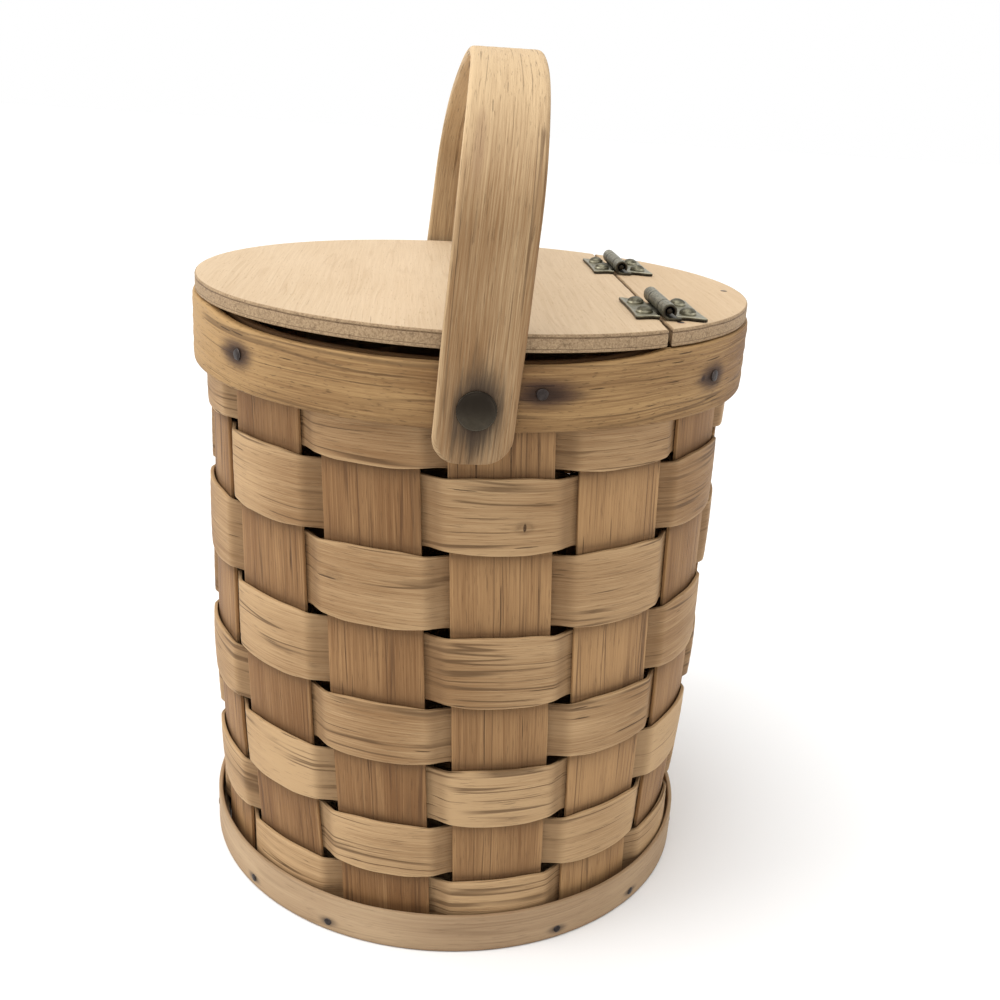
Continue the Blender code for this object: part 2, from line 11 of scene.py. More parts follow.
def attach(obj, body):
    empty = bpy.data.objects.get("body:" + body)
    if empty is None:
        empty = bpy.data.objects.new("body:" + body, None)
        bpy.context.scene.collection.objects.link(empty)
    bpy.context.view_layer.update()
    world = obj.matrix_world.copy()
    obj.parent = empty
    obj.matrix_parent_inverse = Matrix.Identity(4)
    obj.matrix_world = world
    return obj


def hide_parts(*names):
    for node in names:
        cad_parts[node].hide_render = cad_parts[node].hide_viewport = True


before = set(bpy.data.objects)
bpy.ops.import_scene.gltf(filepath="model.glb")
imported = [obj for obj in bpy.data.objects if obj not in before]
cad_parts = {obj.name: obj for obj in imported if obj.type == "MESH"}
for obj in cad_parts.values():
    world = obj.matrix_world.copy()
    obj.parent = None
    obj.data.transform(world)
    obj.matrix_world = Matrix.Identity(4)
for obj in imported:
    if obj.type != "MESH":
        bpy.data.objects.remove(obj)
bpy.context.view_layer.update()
print("stage: frame loaded")

turn = math.tau
shape = {
    "uprights": 14,
    "firstAzimuth": math.radians(7.15),
    "azimuthHeight": 0.161,
    "twist": math.radians(7.35),
    "uprightTop": 0.245,
    "uprightHalf": 0.01935,
    "uprightWall": 0.0016,
    "body": 0.107,
    "footDraw": 0.0032,
    "drawTop": 0.107,
    "drawBase": 0.0325,
    "flare": 0.0028,
    "flareStart": 0.2255,
    "flareEnd": 0.24,
    "rimTop": 0.2503,
    "dip": 0.004,
    "dipAzimuth": math.radians(-13),
    "dipSpread": math.radians(49),
}
rowLevels = (0.2255, 0.2051, 0.1749, 0.143, 0.1124, 0.0859, 0.0585, 0.0325, 0.0084)
pitch = turn / shape["uprights"]
halfAngle = shape["uprightHalf"] / shape["body"]


class Wire:
    # one value in a material's node tree; arithmetic on it adds Math nodes
    def __init__(self, tree, socket=None):
        self.tree = tree
        self.socket = socket

    def make(self, kind, settings=(), inputs=(), output=0):
        # one node: its settings first, then each input typed in or linked
        node = self.tree.nodes.new("ShaderNode" + kind)
        for key, value in dict(settings).items():
            setattr(node, key, value)
        for key, value in dict(inputs).items():
            if isinstance(value, Wire):
                self.tree.links.new(value.socket, node.inputs[key])
            else:
                node.inputs[key].default_value = value
        return Wire(self.tree, node.outputs[output])

    def math(self, operation, first, second=0.0):
        # one Math node: operation(first, second)
        return self.make("Math", {"operation": operation}, {0: first, 1: second})

    def __add__(self, other):
        return self.math("ADD", self, other)

    def __sub__(self, other):
        return self.math("SUBTRACT", self, other)

    def __rsub__(self, other):
        return self.math("SUBTRACT", other, self)

    def __mul__(self, other):
        return self.math("MULTIPLY", self, other)

    def __truediv__(self, other):
        return self.math("DIVIDE", self, other)

    def __abs__(self):
        return self.math("ABSOLUTE", self)

    __radd__ = __add__
    __rmul__ = __mul__

    def least(self, other):
        return self.math("MINIMUM", self, other)

    def step(self, low, high):
        # 0 below low, 1 above high, smooth between
        inputs = {"Value": self, "From Min": low, "From Max": high}
        return self.make("MapRange", {"interpolation_type": "SMOOTHSTEP"}, inputs)

    def vector(self, operation, other, output=0):
        return self.make("VectorMath", {"operation": operation}, {0: self, 1: other}, output)

    def noise(self, stretch, detail=2.0, roughness=0.5):
        # noise whose lumps are 1 / stretch metres long each way
        stretched = self.vector("MULTIPLY", stretch)
        inputs = {"Vector": stretched, "Scale": 1.0, "Detail": detail, "Roughness": roughness}
        return self.make("TexNoise", {"noise_dimensions": "3D"}, inputs)

    def mix(self, factor, first, second):
        # first * (1 - factor) + second * factor, as colours
        inputs = {0: factor, 6: opaque(first), 7: opaque(second)}
        return self.make("Mix", {"data_type": "RGBA"}, inputs, 2)

    def field(self, name):
        # a value that each point of the mesh carries
        return self.make("Attribute", {"attribute_name": name}, output="Fac")

    def bump(self, distance, strength=1.0):
        # this height as a normal
        inputs = {"Strength": strength, "Distance": distance, "Height": self}
        return self.make("Bump", inputs=inputs, output="Normal")


def opaque(colour):
    # a colour with alpha 1, or a wire as it is
    return colour if isinstance(colour, Wire) else (*colour, 1.0)


def newMaterial(name):
    # a material, a start for its wires and its shader
    made = bpy.data.materials.new(name)
    made.use_nodes = True
    shader = made.node_tree.nodes["Principled BSDF"]
    return made, Wire(made.node_tree), shader


def finish(start, shader, values):
    # types in or links each value of the shader
    for key, value in values.items():
        if isinstance(value, Wire):
            start.tree.links.new(value.socket, shader.inputs[key])
        else:
            shader.inputs[key].default_value = value


def woodMaterial(look):
    # pale wood, darkened by drift, streaks and fibres, then lines, pores, knots, painted shade and soil, and
    # iron
    made, start, shader = newMaterial(look["name"])
    uv = start.make("UVMap", {"uv_map": "grain"})
    sway = (uv.noise((11, 28, 1), 2) - 0.5) * look["sway"]
    grain = uv.vector("ADD", start.make("CombineXYZ", inputs={1: sway}))
    drift = uv.noise((9, 26, 1), 2)
    streak = grain.noise(look["streakSize"], 5, 0.6)
    fibre = grain.noise(look["fibreSize"], 3, 0.62)
    pore = grain.noise(look["poreSize"], 2).step(0.6, 0.72)
    line = 1 - abs(grain.noise(look["lineSize"], 1, 0.4) - 0.5) * look["lineThin"]
    line = line.step(0.0, 0.8) * grain.noise(look["lineParts"], 1).step(0.44, 0.58)
    crack = grain.noise(look["crackSize"], 2, 0.5).step(look["crackFrom"], look["crackFrom"] + 0.035)
    level = 0.5 + (streak - 0.5) * look["streak"] + (fibre - 0.5) * look["fibre"]
    level = level + (drift - 0.5) * look["drift"] + start.field("tone") * look["tone"]
    level = level.step(0.0, 1.0)
    colour = start.mix(level, look["dark"], look["light"])
    colour = start.mix((line * look["line"]).least(1.0), colour, look["deep"])
    colour = start.mix(pore * look["pore"], colour, look["deep"])
    colour = start.mix(crack * look["crack"], colour, look["crackColour"])
    height = streak * 0.5 + fibre * 0.45 - line * 0.25 - pore * 0.3 - crack * 0.9
    for along, across, long, wide, strength in look.get("knots", ()):
        away = uv.vector("SUBTRACT", (along, across, 0)).vector("DIVIDE", (long, wide, 1))
        reach = away.vector("LENGTH", (0, 0, 0), "Value")
        rings = reach.math("SINE", reach * 9 + grain.noise((300, 500, 1), 2) * 6) * 0.5 + 0.5
        spot = (1 - reach).step(0.0, 1.0)
        colour = start.mix(spot * (0.35 + rings * 0.5) * strength, colour, look["knotColour"])
        height = height - spot * rings * 0.5
    for along, across, long, wide, strength in look.get("smudges", ()):
        away = uv.vector("SUBTRACT", (along, across, 0)).vector("DIVIDE", (long, wide, 1))
        smudge = (1 - away.vector("LENGTH", (0, 0, 0), "Value") + (streak - 0.5) * 0.7).step(0.0, 0.6)
        colour = start.mix(smudge * strength, colour, look["smudgeColour"])
    # the shade-and-soil field darkens the wood: painted shade on the splints and the handle, and darkened
    # edges on the bands
    shadeAndSoil = start.field("shadeAndSoil") * (0.55 + streak * 0.9)
    colour = start.mix((shadeAndSoil * look["shadeAndSoil"]).least(0.9), colour, look["soilColour"])
    ragged = (grain.noise(look["raggedSize"], 4, 0.65) - 0.5) * look["ragged"]
    iron = start.field("iron")
    halo = (iron + ragged * iron.step(0.02, 0.3)).step(0.12, 0.75)
    core = (iron + ragged * 0.55).step(0.62, 0.95)
    colour = start.mix(halo * look["halo"], colour, look["haloColour"])
    colour = start.mix(core * 0.85, colour, (0.026, 0.013, 0.008))
    if "ply" in look:
        colour, height = plyEdge(start, colour, height, look)
    bump = height.bump(look["bump"])
    rough = 0.6 + (fibre - 0.5) * 0.25 + shadeAndSoil * 0.1
    values = {"Base Color": colour, "Roughness": rough, "Normal": bump, "Specular IOR Level": 0.15}
    finish(start, shader, values)
    made.diffuse_color = opaque(look["light"])
    return made


def plyEdge(start, colour, height, look):
    # the board's side: sandy end grain, with a dark glue line between its layers
    place = start.make("TexCoord", output="Object")
    split = start.make("SeparateXYZ", inputs={0: place})
    level = Wire(start.tree, split.socket.node.outputs[2])
    waver = (place.noise((60, 60, 60), 2) - 0.5) * 0.0007
    sand = place.noise((1300, 1300, 1300), 4, 0.7)
    pits = place.noise((420, 420, 900), 2).step(0.58, 0.7)
    side = start.field("edge")
    tone = start.mix(sand.step(0.3, 0.7), look["sandDark"], look["sandLight"])
    glue = 0.0
    for line, wide in look["ply"]:
        near = 1 - (abs(level + waver - line) / wide)
        glue = near.step(0.0, 0.8) * (0.3 + sand.step(0.35, 0.6) * 0.8) + glue
    tone = start.mix((glue * 0.9).least(0.9), tone, look["glue"])
    tone = start.mix(pits * 0.25, tone, look["glue"])
    deep = height * (1 - side) + (sand * 1.6 - pits * 1.2) * side
    return start.mix(side, colour, tone), deep


def metalMaterial(look):
    # patina: dark and olive patches, lighter where rims are worn, and with painted light on the tops of hinge
    # plates and barrels
    made, start, shader = newMaterial(look["name"])
    place = start.make("TexCoord", output="Object")
    patch = place.noise((420, 420, 420), 4, 0.65).step(*look["patch"])
    grit = place.noise((2600, 2600, 2600), 2, 0.6)
    worn = (start.field("edge") + (place.noise((900, 900, 900), 3) - 0.5) * 0.9).step(0.35, 0.9)
    colour = start.mix(patch, look["dark"], look["light"])
    colour = start.mix(worn * look["wearAndTopLight"], colour, look["bright"])
    colour = start.mix(grit.step(0.62, 0.78) * 0.4, colour, look["dust"])
    # grime-and-shade field: painted shade on hinge plate sides, inside the rolls and on the rivet tops, dark
    # knuckle joints, and the darkened pin
    colour = start.mix(start.field("grimeAndShade"), colour, (0.018, 0.013, 0.009))
    rough = look["rough"] + (grit - 0.5) * 0.25 - worn * 0.12
    height = grit * 0.5 + patch * 0.5
    bump = height.bump(look["bump"], 0.6)
    values = {"Base Color": colour, "Roughness": rough, "Metallic": look["metal"], "Normal": bump}
    finish(start, shader, values)
    made.diffuse_color = opaque(look["light"])
    return made


def wander(angle, seed, waves):
    # sum of sin(count * angle + a phase of its own) / sqrt(count), scaled to lie within -1 and 1
    phases = np.random.default_rng(seed).uniform(0, turn, len(waves))
    parts = [np.sin(count * angle + phase) / math.sqrt(count) for count, phase in zip(waves, phases)]
    return sum(parts) / sum(1 / math.sqrt(count) for count in waves)


def smoothStep(value, low, high):
    # 3 s^2 - 2 s^3, with s the share of the way from low to high
    share = np.clip((value - low) / (high - low), 0, 1)
    return share * share * (3 - 2 * share)


def onWall(azimuth, radius, height):
    # x = radius * sin(azimuth), y = -radius * cos(azimuth), z = height
    azimuth, radius, height = np.broadcast_arrays(azimuth, radius, height)
    return np.stack([radius * np.sin(azimuth), -radius * np.cos(azimuth), height], axis=-1)


def splintRadius(height):
    # body radius, less the draw at the foot, plus the spread at the rim
    drawn = np.clip((shape["drawTop"] - height) / (shape["drawTop"] - shape["drawBase"]), 0, 1)
    spread = smoothStep(height, shape["flareStart"], shape["flareEnd"])
    return shape["body"] - shape["footDraw"] * drawn**1.5 + shape["flare"] * spread


def lean(height):
    # how far round the basket the first upright stands at this height
    return shape["firstAzimuth"] + shape["twist"] * (shape["azimuthHeight"] - height) / shape["uprightTop"]


def rimEdge(azimuth):
    # the rim's top, less dip * (1 - away^4) in front and behind
    height = np.full_like(azimuth, shape["rimTop"])
    for centre in (shape["dipAzimuth"], math.pi - shape["dipAzimuth"]):
        away = np.abs(np.remainder(azimuth - centre + math.pi, turn) - math.pi) / shape["dipSpread"]
        height = height - shape["dip"] * np.clip(1 - away**4, 0, 1)
    return height


def crossing(azimuth, height, row):
    # how far a point of this row is from its upright to the middle of the gap (0 to 1),
    # and 1 where the row passes outside that upright, else -1
    phase = (azimuth - lean(height)) / pitch
    nearest = np.round(phase)
    side = np.where((row + nearest) % 2 == 0, 1.0, -1.0)
    return np.abs(phase - nearest) * 2, side


weave = {"over": 0.0027, "fall": 0.0007, "edge": 0.002, "edgeSlope": 0.00174, "gapSlope": 0.0115}


def weaveOffset(reach):
    # 2.7 mm at the upright's middle, 2 mm at its edge, then a smooth cubic to 0 in the middle of the gap
    edge = halfAngle / (pitch / 2)
    over = weave["over"] - weave["fall"] * (reach / edge) ** 2
    span = 1 - edge
    part = np.clip((reach - edge) / span, 0, 1)
    cubic = weave["edge"] * (2 * part**3 - 3 * part**2 + 1)
    cubic = cubic - weave["edgeSlope"] * span * (part**3 - 2 * part**2 + part)
    cubic = cubic - weave["gapSlope"] * span * (part**3 - part**2)
    return np.where(reach < edge, over, cubic)


def gridShell(points, uv, closed, fields):
    # rows along the piece, closed rings across it; an open end is filled by a fan to its middle
    rows, ring = points.shape[:2]
    here = np.arange(ring)
    after = (here + 1) % ring
    first = np.arange(rows if closed else rows - 1)[:, None]
    second = (first + 1) % rows
    corners = [first * ring + here, second * ring + here, second * ring + after, first * ring + after]
    quads = np.stack(corners, axis=-1).reshape(-1, 4)
    corners = [uv[first, here], uv[first + 1, here], uv[first + 1, here + 1], uv[first, here + 1]]
    quadUv = np.stack(corners, axis=2).reshape(-1, 4, 2)
    flat = points.reshape(-1, 3)
    values = {name: np.broadcast_to(value, (rows, ring)).reshape(-1) for name, value in fields.items()}
    tris, triUv = np.zeros((0, 3), int), np.zeros((0, 3, 2))
    if not closed:
        last = (rows - 1) * ring
        low, high = np.full(ring, rows * ring), np.full(ring, rows * ring + 1)
        fans = [np.stack([here, after, low], -1), np.stack([last + after, last + here, high], -1)]
        tris = np.concatenate(fans)
        ends = [
            np.stack([uv[r, a], uv[r, b], np.broadcast_to(uv[r, :-1].mean(0), (ring, 2))], 1)
            for r, a, b in ((0, here, here + 1), (rows - 1, here + 1, here))
        ]
        triUv = np.concatenate(ends)
        flat = np.concatenate([flat, points[0].mean(0)[None], points[-1].mean(0)[None]])
        values = {name: np.append(value, [value[0], value[-1]]) for name, value in values.items()}
    a, b, c = (flat[quads[:, i]] for i in (0, 1, 2))
    d = flat[quads[:, 3]]
    volume = (np.cross(b - a, c - a) * a).sum() + (np.cross(c - a, d - a) * a).sum()
    if volume < 0:
        quads, quadUv, tris, triUv = quads[:, ::-1], quadUv[:, ::-1], tris[:, ::-1], triUv[:, ::-1]
    return {"points": flat, "quads": quads, "quadUv": quadUv, "tris": tris, "triUv": triUv, "fields": values}


def makePiece(name, shells, material, nodes=(), body="basket", sharp=50):
    # joins the shells into one mesh and hands it to its CAD body
    offset = np.cumsum([0] + [len(shell["points"]) for shell in shells[:-1]])
    points = np.concatenate([shell["points"] for shell in shells])
    quads = np.concatenate([shell["quads"] + start for shell, start in zip(shells, offset)])
    tris = np.concatenate([shell["tris"] + start for shell, start in zip(shells, offset)])
    loops = np.concatenate([quads.reshape(-1), tris.reshape(-1)]).astype(np.int32)
    quadUv = np.concatenate([shell["quadUv"].reshape(-1, 2) for shell in shells])
    triUv = np.concatenate([shell["triUv"].reshape(-1, 2) for shell in shells])
    uvs = np.concatenate([quadUv, triUv])
    starts = np.concatenate([np.arange(len(quads)) * 4, len(quads) * 4 + np.arange(len(tris)) * 3])
    mesh = bpy.data.meshes.new(name)
    mesh.vertices.add(len(points))
    mesh.vertices.foreach_set("co", points.astype(np.float32).reshape(-1))
    mesh.loops.add(len(loops))
    mesh.loops.foreach_set("vertex_index", loops)
    mesh.polygons.add(len(starts))
    mesh.polygons.foreach_set("loop_start", starts.astype(np.int32))
    mesh.polygons.foreach_set("use_smooth", np.ones(len(starts), bool))
    mesh.uv_layers.new(name="grain").uv.foreach_set("vector", uvs.astype(np.float32).reshape(-1))
    for field in ("tone", "shadeAndSoil", "iron", "edge", "grimeAndShade"):
        if any(field in shell["fields"] for shell in shells):
            parts = [shell["fields"].get(field, np.zeros(len(shell["points"]))) for shell in shells]
            data = mesh.attributes.new(field, "FLOAT", "POINT").data
            data.foreach_set("value", np.concatenate(parts).astype(np.float32))
    mesh.update(calc_edges=True)
    mesh.set_sharp_from_angle(angle=math.radians(sharp))
    mesh.materials.append(material)
    piece = bpy.data.objects.new(name, mesh)
    bpy.context.scene.collection.objects.link(piece)
    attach(piece, body)
    if nodes:
        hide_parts(*nodes)


def stripSection(wall, corner, outside, inside, bends=3):
    # once round a rounded rectangle: share of the straight face, what the corner adds, and the offset outward
    rise = np.linspace(0, math.pi / 2, bends + 1)
    half = wall / 2
    flat = half - corner
    side = np.ones(2 * bends)
    share = np.concatenate([np.linspace(-1, 1, outside), side, np.linspace(1, -1, inside), -side])
    adds = np.concatenate([corner * np.sin(rise[1:]), corner * np.cos(rise[:-1])])
    outs = np.concatenate([flat + corner * np.cos(rise[1:]), -flat - corner * np.sin(rise[:-1])])
    add = np.concatenate([np.zeros(outside), adds, np.zeros(inside), -adds[::-1]])
    out = np.concatenate([np.full(outside, half), outs, np.full(inside, -half), outs[::-1]])
    return {"share": share, "add": add, "out": out, "corner": corner, "outside": outside}


def sectionPlace(section, half):
    # across = share * (half width - corner) + corner's part, for each row
    across = section["share"] * (half[:, None] - section["corner"]) + section["add"]
    return across, np.broadcast_to(section["out"], across.shape)


def grainUv(along, across, out, section, shift):
    # u is the length along the grain; v is the length round the section, 0 at the middle of the outer face
    step = np.hypot(np.roll(across, -1, 1) - across, np.roll(out, -1, 1) - out)
    round_ = np.concatenate([np.zeros((len(across), 1)), np.cumsum(step, axis=1)], axis=1)
    round_ -= round_[:, section["outside"] - 1][:, None] / 2
    if len(along) > len(across):
        round_ = np.concatenate([round_, round_[:1]])
    return np.stack([np.broadcast_to(along[:, None] + shift, round_.shape), round_], axis=-1)


def ridges(angle, across, seed, size, period):
    # long ripples that run along the grain: sin(turn * across / period + a slow wander)
    strength = 0.65 + 0.35 * wander(angle, seed + 1, (4, 7, 15))
    return size * np.sin(turn * across / period + 2.2 * wander(angle, seed, (2, 5, 9))) * strength


def hoopShell(azimuths, bottom, top, radiusAt, section, facts):
    # a band round the basket: its edges at bottom and top, its middle at radiusAt(height);
    # lift moves its outer face out and fill moves its inner face in
    half = (top - bottom) / 2
    across, out = sectionPlace(section, half)
    height = (top + bottom)[:, None] / 2 + across
    angle = azimuths[:, None]
    lift = facts["lift"](angle, across) if "lift" in facts else 0
    fill = facts["fill"](height) if "fill" in facts else 0
    radius = radiusAt(height) + out + lift * (out > 0) - fill * (out < 0)
    along = np.append(azimuths, azimuths[0] + turn) * facts["length"]
    uv = grainUv(along, across, out, section, facts["shift"])
    fields = {name: make(angle, height, across) for name, make in facts["fields"].items()}
    return gridShell(onWall(angle, radius, height), uv, True, fields)


def ironField(spots, radius):
    # greatest over the spots of exp(-(along / long)^2 - (across / wide)^2), longer on one side where asked
    def field(angle, height, _):
        # the stain at each point
        total = np.zeros(np.broadcast_shapes(angle.shape, height.shape))
        for azimuth, level, ahead, behind, wide, strength in spots:
            along = (np.remainder(angle - azimuth + math.pi, turn) - math.pi) * radius
            long = np.where(along > 0, ahead, behind)
            spot = strength * np.exp(-((along / long) ** 2) - ((height - level) / wide) ** 2)
            total = np.maximum(total, spot)
        return total
    return field


def turnedShell(profile, sides, origin, axes, wobble=0.0, seed=0):
    # a profile of (radius, height) turned about the third axis, with small dents
    profile = np.array(profile)
    angle = np.arange(sides) / sides * turn
    radius = profile[:, :1] * (1 + wobble * wander(angle, seed, (2, 3, 5)))
    dents = wobble * wander(angle, seed + 5, (1, 2, 4)) * (profile[:, :1] > profile[:, 0].max() * 0.3)
    height = np.broadcast_to(profile[:, 1:2] * (1 + dents), radius.shape)
    local = np.stack([radius * np.cos(angle), radius * np.sin(angle), height], axis=-1)
    around = np.linspace(0, 1, sides + 1)
    uv = np.stack(np.broadcast_arrays(around[None], profile[:, 1:2]), axis=-1)
    outermost = profile[:, :1] / profile[:, 0].max()
    return gridShell(local @ axes.T + origin, uv, False, {"edge": smoothStep(outermost, 0.86, 1.0)})


def wallAxes(azimuth):
    # columns: round the basket, up, and outward
    sine, cosine = math.sin(azimuth), math.cos(azimuth)
    return np.array([[cosine, 0, sine], [sine, 0, -cosine], [0, 1, 0]])


def domeProfile(radius, height, lip, steps=10, power=1.0):
    # from the top down: r = radius * sin(a), h = lip + (height - lip) * cos(a)^power, then the lip's side
    angle = np.linspace(0.04, math.pi / 2 - 0.03, steps)
    dome = [(radius * math.sin(a), lip + (height - lip) * math.cos(a) ** power) for a in angle]
    return dome + [(radius, lip * 0.75), (radius, lip * 0.2), (radius * 0.985, 0)]


boardRings = (0.02, 0.25, 0.5, 0.75, 0.9, 0.97, 0.99)


def slabShell(outline, bottom, top, corner, rough=0.0, bend=None, seed=0, inner=boardRings):
    # a flat board: rings from the middle of the underside, round the edge, to the middle of the top;
    # a corner moves in along the sum of its sides' normals / (1 + their product), so both sides move alike
    ahead = np.roll(outline, -1, 0) - outline
    ahead = np.stack([ahead[:, 1], -ahead[:, 0]], axis=-1) / np.linalg.norm(ahead, axis=1)[:, None]
    behind = np.roll(ahead, 1, 0)
    normal = (ahead + behind) / (1 + (ahead * behind).sum(1))[:, None]
    middle = (outline.max(0) + outline.min(0)) / 2
    rise = np.linspace(0, math.pi / 2, 4)
    lowEdge = [(1, corner * (1 - math.sin(a)), bottom + corner * (1 - math.cos(a)), 1) for a in rise]
    sides = [(1, 0, level, 1) for level in np.linspace(bottom + corner, top - corner, 7)[1:-1]]
    highEdge = [(1, corner * (1 - math.cos(a)), top - corner + corner * math.sin(a), 1) for a in rise]
    rows = [(share, corner, bottom, 0) for share in inner] + lowEdge + sides + highEdge
    rows += [(share, corner, top, 0) for share in inner[::-1]]
    share, inset, level, edge = (np.array(column)[:, None] for column in zip(*rows))
    jitter = np.random.default_rng(seed).uniform(0, rough, (len(rows), len(outline)))
    jitter = jitter * edge * (inset < corner * 0.99)
    flat = (outline - middle)[None] - normal[None] * (inset + jitter)[:, :, None]
    flat = middle + flat * share[:, :, None]
    height = np.broadcast_to(level, flat.shape[:2])
    if bend:
        height = height + bend(flat[..., 0], flat[..., 1]) * (height > (bottom + top) / 2)
    points = np.concatenate([flat, height[..., None]], axis=-1)
    planar = flat[..., ::-1]
    uv = np.concatenate([planar, planar[:, :1]], axis=1)
    return gridShell(points, uv, False, {"edge": edge * (inset < corner * 0.9), "tone": 0 * edge})


woodLook = {
    "sway": 0.005,
    "streakSize": (7, 520, 1),
    "fibreSize": (34, 1700, 1),
    "poreSize": (110, 1900, 1),
    "lineSize": (5, 185, 1),
    "lineParts": (24, 70, 1),
    "lineThin": 27,
    "crackSize": (34, 640, 1),
    "crackFrom": 0.7,
    "raggedSize": (45, 420, 1),
    "ragged": 0.55,
    "halo": 0.75,
    "haloColour": (0.055, 0.027, 0.018),
    "streak": 0.55,
    "fibre": 1.05,
    "drift": 0.6,
    "tone": 0.25,
    "line": 0.9,
    "pore": 0.3,
    "crack": 0.8,
    "shadeAndSoil": 0.6,
    "bump": 0.00035,
    "light": (0.56, 0.39, 0.235),
    "dark": (0.33, 0.2, 0.1),
    "deep": (0.1, 0.052, 0.022),
    "crackColour": (0.06, 0.03, 0.014),
    "knotColour": (0.06, 0.03, 0.013),
    "soilColour": (0.13, 0.068, 0.03),
}
weaverWood = woodMaterial(woodLook | {
    "name": "weaverSplint",
    "light": (0.51, 0.335, 0.175),
    "dark": (0.25, 0.135, 0.057),
    "line": 0.75,
    "knots": (
        (7.4195, -0.0036, 0.0055, 0.004, 0.7),
        (7.4195, -0.0036, 0.0008, 0.0024, 2.5),
        (11.0517, 0.002, 0.006, 0.0035, 0.4),
    ),
})
uprightWood = woodMaterial(woodLook | {
    "name": "uprightSplint",
    "light": (0.46, 0.27, 0.122),
    "dark": (0.19, 0.09, 0.034),
    "deep": (0.09, 0.042, 0.018),
    "sway": 0.003,
    "streakSize": (6, 560, 1),
    "fibreSize": (26, 1700, 1),
    "lineSize": (4, 240, 1),
    "lineParts": (16, 110, 1),
    "lineThin": 30,
    "streak": 0.6,
    "fibre": 1.0,
    "line": 0.65,
    "tone": 0.22,
    "knots": (
        (20.2095, -0.0092, 0.013, 0.0005, 2.5),
        (20.2105, 0.003, 0.013, 0.00045, 2.0),
        (20.214, 0.0131, 0.01, 0.0008, 0.8),
    ),
    "crackSize": (16, 700, 1),
    "crackFrom": 0.69,
    "shadeAndSoil": 0.8,
})
bandWood = woodMaterial(woodLook | {
    "name": "bandWood",
    "light": (0.44, 0.272, 0.118),
    "dark": (0.18, 0.09, 0.034),
    "streakSize": (11, 600, 1),
    "streak": 0.7,
    "fibre": 1.25,
    "poreSize": (260, 1500, 1),
    "pore": 0.5,
    "line": 0.6,
    "crackFrom": 0.68,
    "bump": 0.0005,
    "halo": 0.85,
})
footWood = woodMaterial(woodLook | {
    "name": "footWood",
    "light": (0.5, 0.355, 0.215),
    "dark": (0.32, 0.205, 0.115),
    "streak": 0.6,
    "fibre": 0.7,
    "line": 0.2,
    "crackFrom": 0.74,
    "bump": 0.00025,
    "haloColour": (0.1, 0.07, 0.05),
})
handleWood = woodMaterial(woodLook | {
    "name": "handleWood",
    "light": (0.64, 0.46, 0.265),
    "dark": (0.27, 0.15, 0.066),
    "sway": 0.0025,
    "streakSize": (9, 1000, 1),
    "fibreSize": (45, 1900, 1),
    "streak": 0.5,
    "fibre": 1.0,
    "lineSize": (4, 270, 1),
    "lineParts": (30, 130, 1),
    "lineThin": 32,
    "line": 0.6,
    "crack": 0.15,
    "tone": 0.3,
    "smudges": ((70.106, -0.0085, 0.022, 0.0026, 0.5),),
    "smudgeColour": (0.33, 0.2, 0.11),
    "raggedSize": (30, 520, 1),
    "ragged": 0.85,
    "halo": 0.9,
    "haloColour": (0.055, 0.038, 0.025),
})
lidWood = woodMaterial(woodLook | {
    "name": "lidPlywood",
    "sway": 0.004,
    "light": (0.7, 0.545, 0.37),
    "dark": (0.55, 0.395, 0.24),
    "deep": (0.36, 0.22, 0.11),
    "streakSize": (14, 720, 1),
    "fibreSize": (45, 1500, 1),
    "poreSize": (160, 1500, 1),
    "streak": 0.7,
    "fibre": 0.6,
    "drift": 0.5,
    "line": 0.15,
    "pore": 0.35,
    "crack": 0.0,
    "bump": 0.00016,
    "smudges": ((-0.0797, 0.0716, 0.0035, 0.0025, 0.6),),
    "smudgeColour": (0.42, 0.24, 0.16),
    "ply": ((0.2558, 0.00042), (0.2519, 0.00016)),
    "sandLight": (0.47, 0.33, 0.195),
    "sandDark": (0.25, 0.165, 0.092),
    "glue": (0.085, 0.045, 0.022),
})
baseWood = woodMaterial(woodLook | {
    "name": "baseWood",
    "light": (0.52, 0.36, 0.2),
    "dark": (0.36, 0.23, 0.12),
})
bronze = metalMaterial({
    "name": "antiqueBronze",
    "dark": (0.062, 0.056, 0.037),
    "light": (0.17, 0.158, 0.108),
    "bright": (0.36, 0.335, 0.24),
    "dust": (0.25, 0.235, 0.175),
    "wearAndTopLight": 0.75,
    "rough": 0.5,
    "metal": 0.85,
    "patch": (0.35, 0.68),
    "bump": 0.00012,
})
rivetBronze = metalMaterial({
    "name": "rivetBronze",
    "dark": (0.042, 0.034, 0.023),
    "light": (0.062, 0.051, 0.036),
    "bright": (0.11, 0.095, 0.07),
    "dust": (0.05, 0.042, 0.03),
    "wearAndTopLight": 0.3,
    "rough": 0.36,
    "metal": 0.9,
    "patch": (0.2, 0.9),
    "bump": 0.00002,
})
iron = metalMaterial({
    "name": "ironTack",
    "dark": (0.02, 0.014, 0.012),
    "light": (0.045, 0.034, 0.03),
    "bright": (0.11, 0.092, 0.085),
    "dust": (0.03, 0.024, 0.022),
    "wearAndTopLight": 0.5,
    "rough": 0.45,
    "metal": 0.7,
    "patch": (0.35, 0.68),
    "bump": 0.00012,
})
print("stage: materials made")

splint = {
    "foot": 0.0005,
    "steps": 160,
    "corner": 0.00045,
    "trim": 0.00012,
    "ragged": 0.00022,
    "ripples": (0.00005, 0.0035),
    "crown": 0.00012,
    "mostLift": 0.00008,
    "shadeNear": 0.0022,
    "shadeFar": 0.008,
    "rimShade": (0.216, 0.226),
    "edgeTone": 0.0007,
    "tones": np.random.default_rng(70).uniform(-0.8, 0.8, shape["uprights"]),
}
splint["tones"][[0, 1, 12, 13]] = (0.0, 0.9, -0.9, -0.9)


